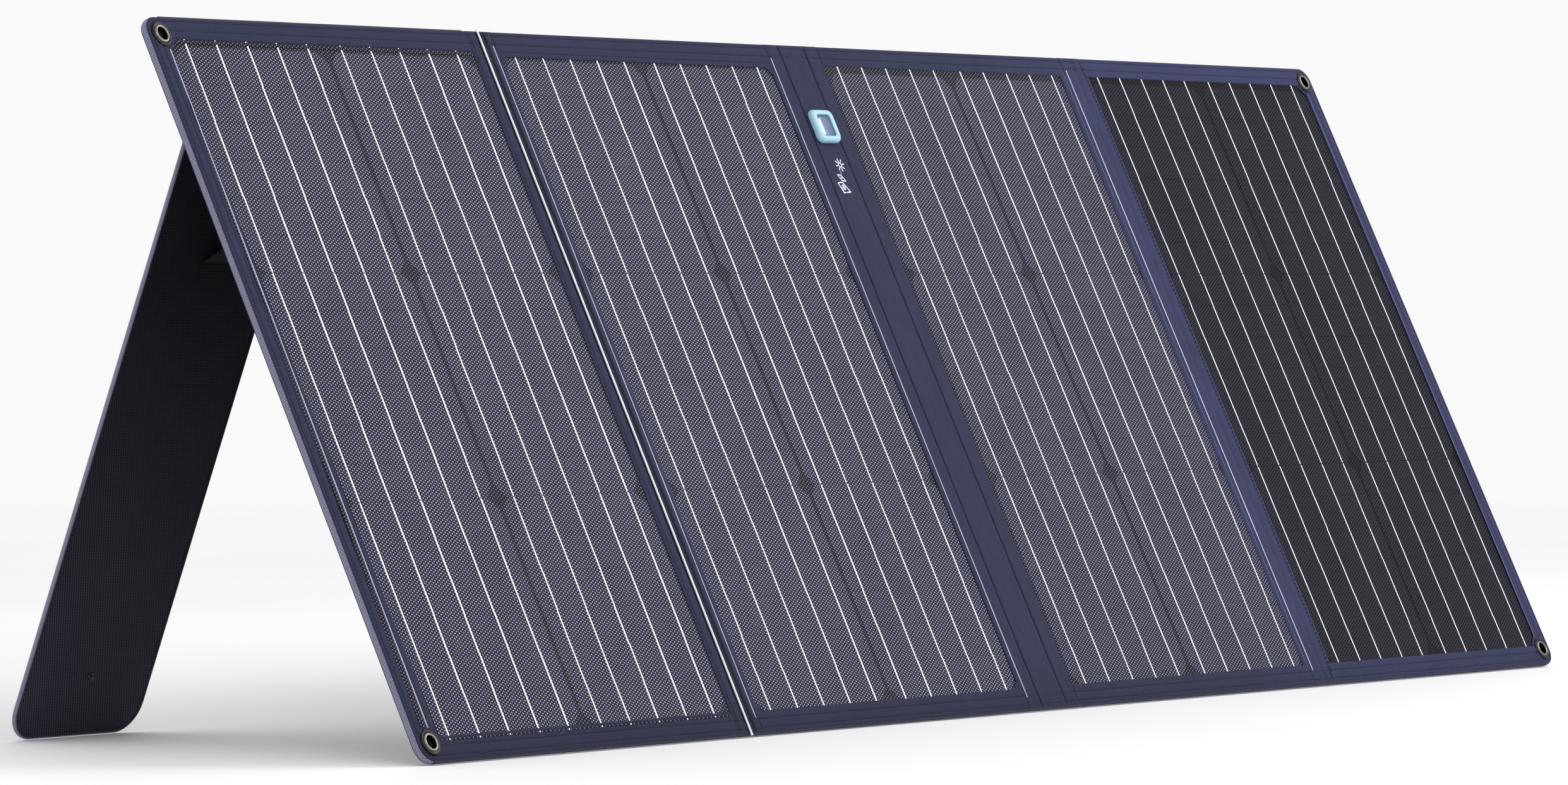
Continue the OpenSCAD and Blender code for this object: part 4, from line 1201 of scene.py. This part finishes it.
def hinge_strip_shape(side):
    """Folded cloth sewn over the kickstand's hinge, and the patch that holds the stay."""
    shape = Shape()
    x0, x1 = sorted((side * (LEG_MID - LEG_W / 2), side * (LEG_MID + LEG_W / 2)))
    low = STRIP_LOW + 0.3
    path = [(y, -6.95 - 0.08 * math.sin((y - low) * 0.9)) for y in np.linspace(low, STRIP_HIGH, 24)]
    shape.add(ribbon_shape(path, x0, x1, 2.6, 0.05, 60))
    for y in (low + 3, STRIP_HIGH - 3, STRIP_HIGH - 6):
        stitch_row(shape, (x0 + 3, y, -8.35), (x1 - 3, y, -8.35), (0, 0, -1), 2)
    mid = side * LEG_MID
    y = stay_pin[1]
    shape.add(soft_block((mid - 14.5, mid + 14.5), (y - 4, y + 14), (-6.5, BACK_CLOTH_Z), 2, 0.4), 1)
    box_stitch(shape, (mid - 11.5, mid + 11.5), (y + 2.5, y + 12), -6.5, -1, 2)
    return shape


def hinge_cloth_shape(side):
    """Cloth from the hinge strip's back over the hinge line to the kickstand's outer face."""
    x0, x1 = sorted((side * (LEG_MID - LEG_W / 2 + 1.5), side * (LEG_MID + LEG_W / 2 - 1.5)))
    path = [(y, -8.75) for y in np.linspace(STRIP_HIGH - 8, STRIP_LOW + 4, 8)]
    c, s_ = math.cos(LEG_OPEN), math.sin(LEG_OPEN)
    for t, z in ((-3, -3.1), (-6, -3.35), (-10, -3.4), (-16, -3.4), (-24, -3.4)):
        path.append((leg_hinge[1] + t * c - z * s_, leg_hinge[2] + t * s_ + z * c))
    return Shape().add(ribbon_shape(path, x0, x1, 0.7, 0.0, 50))


def leg_patch(shape):
    """Where the stay is sewn to the inner face."""
    at = -111
    shape.add(soft_block((-STAY_W / 2, STAY_W / 2), (at - 15, at + 1), (-0.1, 0.2), 1.5, 0.1), 3)


def stay_place(side):
    return (PANEL @ Matrix.Translation((side * stay_pin[0], stay_pin[1], stay_pin[2]))
            @ Matrix.Rotation(STAY_OPEN, 4, "X"))


def stay_shape():
    path = [(y, 0.12 * math.sin(y * 0.23)) for y in np.linspace(-0.5, -STAY_LEN + 0.4, 40)]
    shape = Shape().add(ribbon_shape(path, -STAY_W / 2, STAY_W / 2, 1.1, 0.03))
    for x in (-STAY_W / 2 + 2.5, STAY_W / 2 - 2.5):
        stitch_row(shape, (x, -3, 0.5), (x, 3 - STAY_LEN, 0.5), (0, 0, 1), 1)
    return shape


def socket_shape(side):
    lo, hi = span("snap_socket_right")
    x, y, z = side * (lo[0] + hi[0]) / 2, (lo[1] + hi[1]) / 2, BACK_CLOTH_Z
    profile = [(2.5, z), (2.5, z - 1.15), (2.9, z - 1.4), (3.6, z - 1.45), (4.1, z - 1.1),
               (4.6, z - 0.85), (5.6, z - 0.75), (6, z - 0.5), (6, z)]
    return Shape().add(lathe(profile, 48, (x, y, 0)))


for side, name, n in ((-1, "left", 1), (1, "right", 4)):
    place = leg_place(side)
    leg, panel = f"leg_{name}", f"panel_{n}"
    shape = leg_shape()
    leg_patch(shape)
    # The patch on the kickstand and the stay take the shaded webbing: painted shade.
    make(f"kickstand_{name}", shape, leg, ["ribbed", "tape", "thread", "shaded_web"],
         [f"leg_cover_{name}"], place)
    make(f"stud_{name}", stud_shape(), leg, ["dark_metal"], [f"snap_stud_{name}"],
         place, angle=50)
    make(f"socket_{name}", socket_shape(side), panel, ["steel"], [f"snap_socket_{name}"],
         angle=50)
    make(f"hinge_strip_{name}", hinge_strip_shape(side), panel, ["black", "webbing", "seam"],
         [f"leg_hinge_strip_{name}"])
    make(f"hinge_cloth_{name}", hinge_cloth_shape(side), None, ["black"], (),
         bend=(panel, leg, (0, leg_hinge[1] + 3, leg_hinge[2]),
               (0, leg_hinge[1] - 2, leg_hinge[2] - 5)))
    make(f"stay_{name}", stay_shape(), f"stay_{name}", ["shaded_web", "thread"],
         [f"leg_stay_{name}"], stay_place(side))


# ---- Zip pocket ----

def swell(shape, voxel, pressure, cap, frames=20):
    """Mesh object of a closed shape, puffed up by a short cloth simulation.
    No point moves more than cap mm."""
    mesh = bpy.data.meshes.new("pad")
    mesh.from_pydata(shape.verts, [], shape.faces)
    mesh.transform(PANEL)
    obj = link("pad", mesh)
    modifier = obj.modifiers.new("remesh", "REMESH")
    modifier.mode, modifier.voxel_size = "VOXEL", voxel * MM
    settle(obj)
    rest = np.array([v.co for v in obj.data.vertices])
    cloth = obj.modifiers.new("cloth", "CLOTH")
    cloth.settings.use_pressure = True
    cloth.settings.uniform_pressure_force = pressure
    cloth.settings.effector_weights.gravity = 0
    cloth.settings.quality = 5
    scene = bpy.context.scene
    for f in range(1, frames + 1):
        scene.frame_set(f)
    settle(obj)
    scene.frame_set(1)
    moved = np.array([v.co for v in obj.data.vertices]) - rest
    far = np.linalg.norm(moved, axis=1, keepdims=True)
    moved *= np.minimum(1, cap * MM / np.maximum(far, 1e-9))
    return obj, rest + moved


pocket_lo, pocket_hi = span("pocket")
zip_lo, zip_hi = span("pocket_zip")
ZIP_Y = (zip_lo[1] + zip_hi[1]) / 2
TAPE_Z = pocket_lo[2] - 0.5


def pocket_piece():
    inset = 2.5
    block = Shape().add(soft_block((pocket_lo[0] + inset, pocket_hi[0] - inset),
                                   (pocket_lo[1] + inset, pocket_hi[1] - inset),
                                   (pocket_lo[2] + 0.5, BACK_CLOTH_Z - 0.1), 10, 4.5))
    obj, points = swell(block, 4.5, 4.0, 5.0)
    to_mm = np.array(PANEL_INV)
    mm = np.c_[points, np.ones(len(points))] @ to_mm.T
    for p in mm:
        x, y, z = p[:3]
        face = min(max((-z - 9) / 6, 0), 1)
        z += face * (wobble(x, y, 34, 1.0, 21) + wobble(x, y * 1.5, 12, 0.35, 22))
        zip_flat = math.exp(-((y - ZIP_Y) / 16) ** 4)
        in_zip = 1 if zip_lo[0] - 6 < x < zip_hi[0] + 6 else 0
        if face > 0.5:
            z = z * (1 - zip_flat * in_zip) + (pocket_lo[2] + 0.05) * zip_flat * in_zip
            lower_seam = math.exp(-((y - pocket_lo[1] - 9) / 2.0) ** 2)
            z += 0.9 * lower_seam
        p[0] = min(max(x, pocket_lo[0]), pocket_hi[0])
        p[1] = min(max(y, pocket_lo[1]), pocket_hi[1])
        p[2] = min(max(z, pocket_lo[2] - 3), BACK_CLOTH_Z - 0.02)
    world = (np.c_[mm[:, :3], np.ones(len(mm))] @ np.array(PANEL).T)[:, :3]
    obj.data.vertices.foreach_set("co", world.astype(np.float32).ravel())
    obj.name = "zip_pocket"
    modifier = obj.modifiers.new("smooth", "SUBSURF")
    modifier.levels = modifier.render_levels = 1
    settle(obj)
    obj.data.materials.clear()
    obj.data.materials.append(M["black"])
    obj.data.name = obj.name
    obj.data.shade_smooth()
    cloth_coordinates(obj.data, PANEL_INV)
    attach(obj, "panel_2")
    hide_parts("pocket")


pocket_piece()

flange = Shape()
x0, x1, y0, y1 = pocket_lo[0] + 1, pocket_hi[0] - 1, pocket_lo[1] + 1, pocket_hi[1] - 1
centre = ((x0 + x1) / 2, (y0 + y1) / 2)
loops = []
for inset, z in ((7, BACK_CLOTH_Z - 0.1), (0.2, BACK_CLOTH_Z - 0.1), (0, BACK_CLOTH_Z - 0.7),
                 (0.4, BACK_CLOTH_Z - 1.3), (7, BACK_CLOTH_Z - 1.5)):
    loops.append(rounded_loop((x1 - x0) / 2 + 1 - inset, (y1 - y0) / 2 + 1 - inset, 10, z, centre))
flange.add(loft(loops, wrap=True))
for a, b in (((x0 + 8, y0 + 1.6), (x1 - 8, y0 + 1.6)), ((x0 + 8, y1 - 1.6), (x1 - 8, y1 - 1.6)),
             ((x0 + 1.6, y0 + 8), (x0 + 1.6, y1 - 8)), ((x1 - 1.6, y0 + 8), (x1 - 1.6, y1 - 8))):
    stitch_row(flange, (*a, BACK_CLOTH_Z - 1.36), (*b, BACK_CLOTH_Z - 1.36), (0, 0, -1), 1)
make("pocket_flange", flange, "panel_2", ["black", "seam"], ())


def zip_shape():
    """Zip tape with its sewing, and the two interlocked rows of the coil."""
    shape = Shape()
    half = (zip_hi[1] - zip_lo[1]) / 2
    for low, high in ((ZIP_Y - half, ZIP_Y - 0.4), (ZIP_Y + 0.4, ZIP_Y + half)):
        loops = []
        for x in np.linspace(zip_lo[0], zip_hi[0], 90):
            sag = wobble(x, low, 22, 0.15, 31)
            ys = (low, low, low + 0.4, (low + high) / 2, high - 0.4, high, high, (low + high) / 2)
            zs = (0.45, 0.1, -0.05, -0.12, -0.05, 0.1, 0.45, 0.45)
            loops.append([(x, y, TAPE_Z + z + sag * (0.3 if abs(y - ZIP_Y) < 2 else 1))
                          for y, z in zip(ys, zs)])
        shape.add(loft(loops))
    teeth_x = np.arange(zip_lo[0] + 6, zip_hi[0] - 6, 1.5)
    for i, x in enumerate(teeth_x):
        s = 1 if i % 2 else -1
        shape.add(soft_block((x - 0.42, x + 0.42), (ZIP_Y + s * 0.5 - 0.95, ZIP_Y + s * 0.5 + 0.95),
                             (TAPE_Z - 0.95, TAPE_Z + 0.1), 0.35, 0.3, 2), 1)
    for y in (ZIP_Y - half + 1.8, ZIP_Y + half - 1.8):
        stitch_row(shape, (zip_lo[0] + 3, y, TAPE_Z - 0.1), (zip_hi[0] - 3, y, TAPE_Z - 0.1), (0, 0, -1), 2)
    return shape


make("zip", zip_shape(), "panel_2", ["zip_tape", "zip_teeth", "seam"], ["pocket_zip"])


def pull_shape():
    """Corded pull with a moulded end, looped round the slider's pin."""
    lo, hi = span("zip_pull")
    y, z = (lo[1] + hi[1]) / 2, (lo[2] + hi[2]) / 2
    eye = -joint_at("zip_pull_swing")[0]
    shape = Shape()
    ring = [(1.0, -2.2), (1.75, -2.2), (1.85, -1.9), (1.85, 1.9), (1.75, 2.2), (1.0, 2.2), (0.9, 1.9),
            (0.9, -1.9)]
    verts, faces = lathe(ring, 28)
    turned = np.c_[verts[:, 0] - eye, verts[:, 2] + y, verts[:, 1] + z]
    shape.add((turned, faces))
    tip = lo[0] if abs(lo[0] + eye) > abs(hi[0] + eye) else hi[0]
    s = 1 if tip > -eye else -1
    xs = (1.5, 2.2, 4, 7, 9, 10, 12, 20, 23, 23.9)
    wide = (1.5, 2.0, 1.7, 1.5, 1.7, 2.2, 2.4, 2.4, 2.1, 1.2)
    thick = (0.5, 0.6, 0.55, 0.5, 0.55, 0.62, 0.62, 0.62, 0.55, 0.35)
    loops = []
    for dx, w, h in zip(xs, wide, thick):
        ring = [(-eye + s * dx, y + w * math.cos(a), z + h * math.sin(a))
                for a in np.linspace(0, 2 * math.pi, 17)[:-1]]
        loops.append(ring)
    shape.add(loft(loops))
    for dx in (13, 14.6, 16.2, 17.8, 19.4):
        for up in (1, -1):
            shape.add(dash((-eye + s * dx, y, z + up * 0.6), (0, 1, 0), (0, 0, up), 3.6, 0.7, 0.18))
    return shape


make("zip_pull_tab", pull_shape(), "pull", ["webbing"], ["zip_pull"], angle=60)


# ---- Carrying handles ----

def handle_shape(side):
    """Webbing strap looped round the rod at both ends, with a padded grip sewn round its middle."""
    lo, hi = span("carry_handle_right")
    rod = joint_at("handle_swing_right")
    shape = Shape()
    strap_w, z = 25, rod[2]
    grip = lo[0] + 26
    for y0, y1 in ((lo[1], lo[1] + strap_w), (hi[1] - strap_w, hi[1])):
        for x0, x1 in (sorted((side * (grip - 6), side * (rod[0] - 1.6))),):
            path = [(x, z + 0.1 * math.sin(x * 0.4)) for x in np.linspace(x0, x1, 26)]
            verts, faces = ribbon_shape(path, y0 + 0.2, y1 - 0.2, 2.6, 0.1)
            shape.add((verts[:, [1, 0, 2]], faces))
        ring = [(1.7, y0 + 0.3), (2.9, y0 + 0.3), (3.0, y0 + 1), (3.0, y1 - 1), (2.9, y1 - 0.3),
                (1.7, y1 - 0.3), (1.6, y1 - 1), (1.6, y0 + 1)]
        verts, faces = lathe(ring, 28)
        shape.add((np.c_[verts[:, 0] + side * rod[0], verts[:, 2], verts[:, 1] + z], faces))
        for up in (1, -1):
            for y in (y0 + 2.4, y1 - 2.4):
                stitch_row(shape, (side * (grip + 2), y, z + up * 1.45),
                           (side * (rod[0] - 4), y, z + up * 1.45), (0, 0, up), 2)
            sx = sorted((side * (rod[0] - 5), side * (rod[0] - 17)))
            box_stitch(shape, sx, (y0 + 4.5, y1 - 4.5), z + up * 1.5, up, 2)
    loops = []
    grip_x = (lo[0], grip)
    for y in np.linspace(lo[1], hi[1], 60):
        u = (y - lo[1]) / (hi[1] - lo[1])
        end = min(u, 1 - u) * (hi[1] - lo[1])
        round_off = math.sqrt(max(0, 1 - (1 - min(end / 9, 1)) ** 2))
        wide = (grip_x[1] - grip_x[0]) / 2 * (0.55 + 0.45 * round_off)
        thick = 2.9 * (0.5 + 0.5 * round_off) + 0.25 * math.sin(u * 40) * round_off
        mid = (grip_x[0] + grip_x[1]) / 2
        ring = []
        for a in np.linspace(0, 2 * math.pi, 29)[:-1]:
            c, s_ = math.cos(a), math.sin(a)
            pinch = 1 - 0.28 * math.exp(-((abs(c) - 0.8) / 0.07) ** 2)
            ring.append((side * (mid + wide * math.copysign(abs(c) ** 0.7, c)), y,
                         z + thick * pinch * math.copysign(abs(s_) ** 0.75, s_)))
        loops.append(ring)
    shape.add(loft(loops), 1)
    for up in (1, -1):
        for x in (grip_x[0] + 3.2, grip_x[1] - 3.2):
            stitch_row(shape, (side * x, lo[1] + 8, z + up * 2.05), (side * x, hi[1] - 8, z + up * 2.05),
                       (0, 0, up), 2)
    return shape


def tabs_shape(side):
    """Two sewn webbing tabs and the steel rod they hold."""
    lo, hi = span("handle_tabs_right")
    rod = joint_at("handle_swing_right")
    shape = Shape()
    x, z = side * rod[0], rod[2]
    for y0, y1 in ((lo[1], lo[1] + 10), (hi[1] - 10, hi[1])):
        arch = [(x - 5, BACK_CLOTH_Z), (x - 4.6, -8.4), (x - 3.4, -10.6), (x - 1.6, -11.7), (x, -11.9),
                (x + 1.6, -11.7), (x + 3.4, -10.6), (x + 4.6, -8.4), (x + 5, BACK_CLOTH_Z)]
        shape.add(loft([[(px, y, pz) for px, pz in arch] for y in (y0, y0 + 0.3, y1 - 0.3, y1)]))
        for dy in (1.6, 8.4):
            for sx in (-1, 1):
                stitch_row(shape, (x + sx * 4.75, y0 + dy, -8.0), (x + sx * 3.0, y0 + dy, -11.0),
                           (sx, 0, -0.6), 2, 2.0, length=1.6, width=0.6)
    rod_loop = [[(x + 1.5 * math.cos(a), y, z + 1.5 * math.sin(a))
                 for a in np.linspace(0, 2 * math.pi, 25)[:-1]] for y in (lo[1] + 0.5, hi[1] - 0.5)]
    shape.add(loft(rod_loop), 1)
    return shape


for side, name, n in ((-1, "left", 2), (1, "right", 3)):
    make(f"handle_{name}", handle_shape(side), f"handle_{name}", ["webbing", "black", "seam"],
         [f"carry_handle_{name}"])
    make(f"handle_anchor_{name}", tabs_shape(side), f"panel_{n}", ["webbing", "steel", "seam"],
         [f"handle_tabs_{name}"])

# ---- CAD nodes that stay, with their finish ----

HARD_NODES = {"zip_slider": "dark_metal", "junction_box": "plastic",
              "output_cable": "cable", "leg_board_left": "board", "leg_board_right": "board",
              "backing_board_1": "board", "backing_board_2": "board", "backing_board_3": "board",
              "backing_board_4": "board"}
for node, material in HARD_NODES.items():
    obj = frame["nodes"][node]
    obj.data.materials.clear()
    obj.data.materials.append(M[material])
    if node in ("zip_slider", "junction_box"):
        modifier = obj.modifiers.new("edges", "BEVEL")
        modifier.width, modifier.segments, modifier.limit_method = 0.4 * MM, 3, "ANGLE"
for node in frame["nodes"].values():
    cloth_coordinates(node.data, PANEL_INV)


# ---- Floor, light and camera ----

floor = Shape().add(loft([rounded_loop(40000, 40000, 40000, z, (0, 0), 12) for z in (-60, 0)]))
mesh = bpy.data.meshes.new("floor")
mesh.from_pydata(floor.verts, [], floor.faces)
mesh.transform(Matrix.Scale(MM, 4))
tree = Tree("floor_paint")
tree.finish(tree.mix(tree.noise(400, 2), rgb(236, 236, 238), rgb(242, 242, 243)), 0.7)
clear = tree.nodes.new("ShaderNodeBsdfTransparent")
blend = tree.nodes.new("ShaderNodeMixShader")
length = tree.nodes.new("ShaderNodeVectorMath")
length.operation = "LENGTH"
tree.links.new(tree.place()[3], length.inputs[0])
tree.wire(tree.span(length.outputs["Value"], 1500, 5000), blend.inputs[0])
tree.links.new(tree.bsdf.outputs[0], blend.inputs[1])
tree.links.new(clear.outputs[0], blend.inputs[2])
tree.links.new(blend.outputs[0], tree.nodes["Material Output"].inputs["Surface"])
mesh.materials.append(tree.mat)
cloth_coordinates(mesh, Matrix.Scale(1 / MM, 4))
link("floor", mesh)

world = bpy.data.worlds.new("studio")
bpy.context.scene.world = world
world.use_nodes = True
world.node_tree.nodes["Background"].inputs[0].default_value = (1.0, 1.0, 1.0, 1)
world.node_tree.nodes["Background"].inputs[1].default_value = 0.95


def softbox(name, at, aim, size, watts):
    data = bpy.data.lights.new(name, "AREA")
    data.shape, data.size, data.energy = "SQUARE", size, watts
    obj = bpy.data.objects.new(name, data)
    bpy.context.scene.collection.objects.link(obj)
    obj.location = at
    obj.rotation_euler = (Vector(aim) - Vector(at)).to_track_quat("-Z", "Y").to_euler()


softbox("key", (1.7, -1.8, 2.0), (-0.3, 0, 0.25), 1.8, 42)
softbox("fill", (-2.6, -2.4, 2.4), (0, 0, 0.2), 2.4, 30)

camera = bpy.data.objects.new("camera", bpy.data.cameras.new("camera"))
bpy.context.scene.collection.objects.link(camera)
camera.location = (-4.3116, -2.9937, 0.3052)
look = Vector((0.8173, 0.5760, -0.0156)).normalized()
camera.rotation_euler = look.to_track_quat("-Z", "Y").to_euler()
camera.data.lens = 167.1
camera.data.sensor_width = 36
camera.data.clip_end = 200
bpy.context.scene.camera = camera
bpy.context.scene.view_settings.view_transform = "Standard"
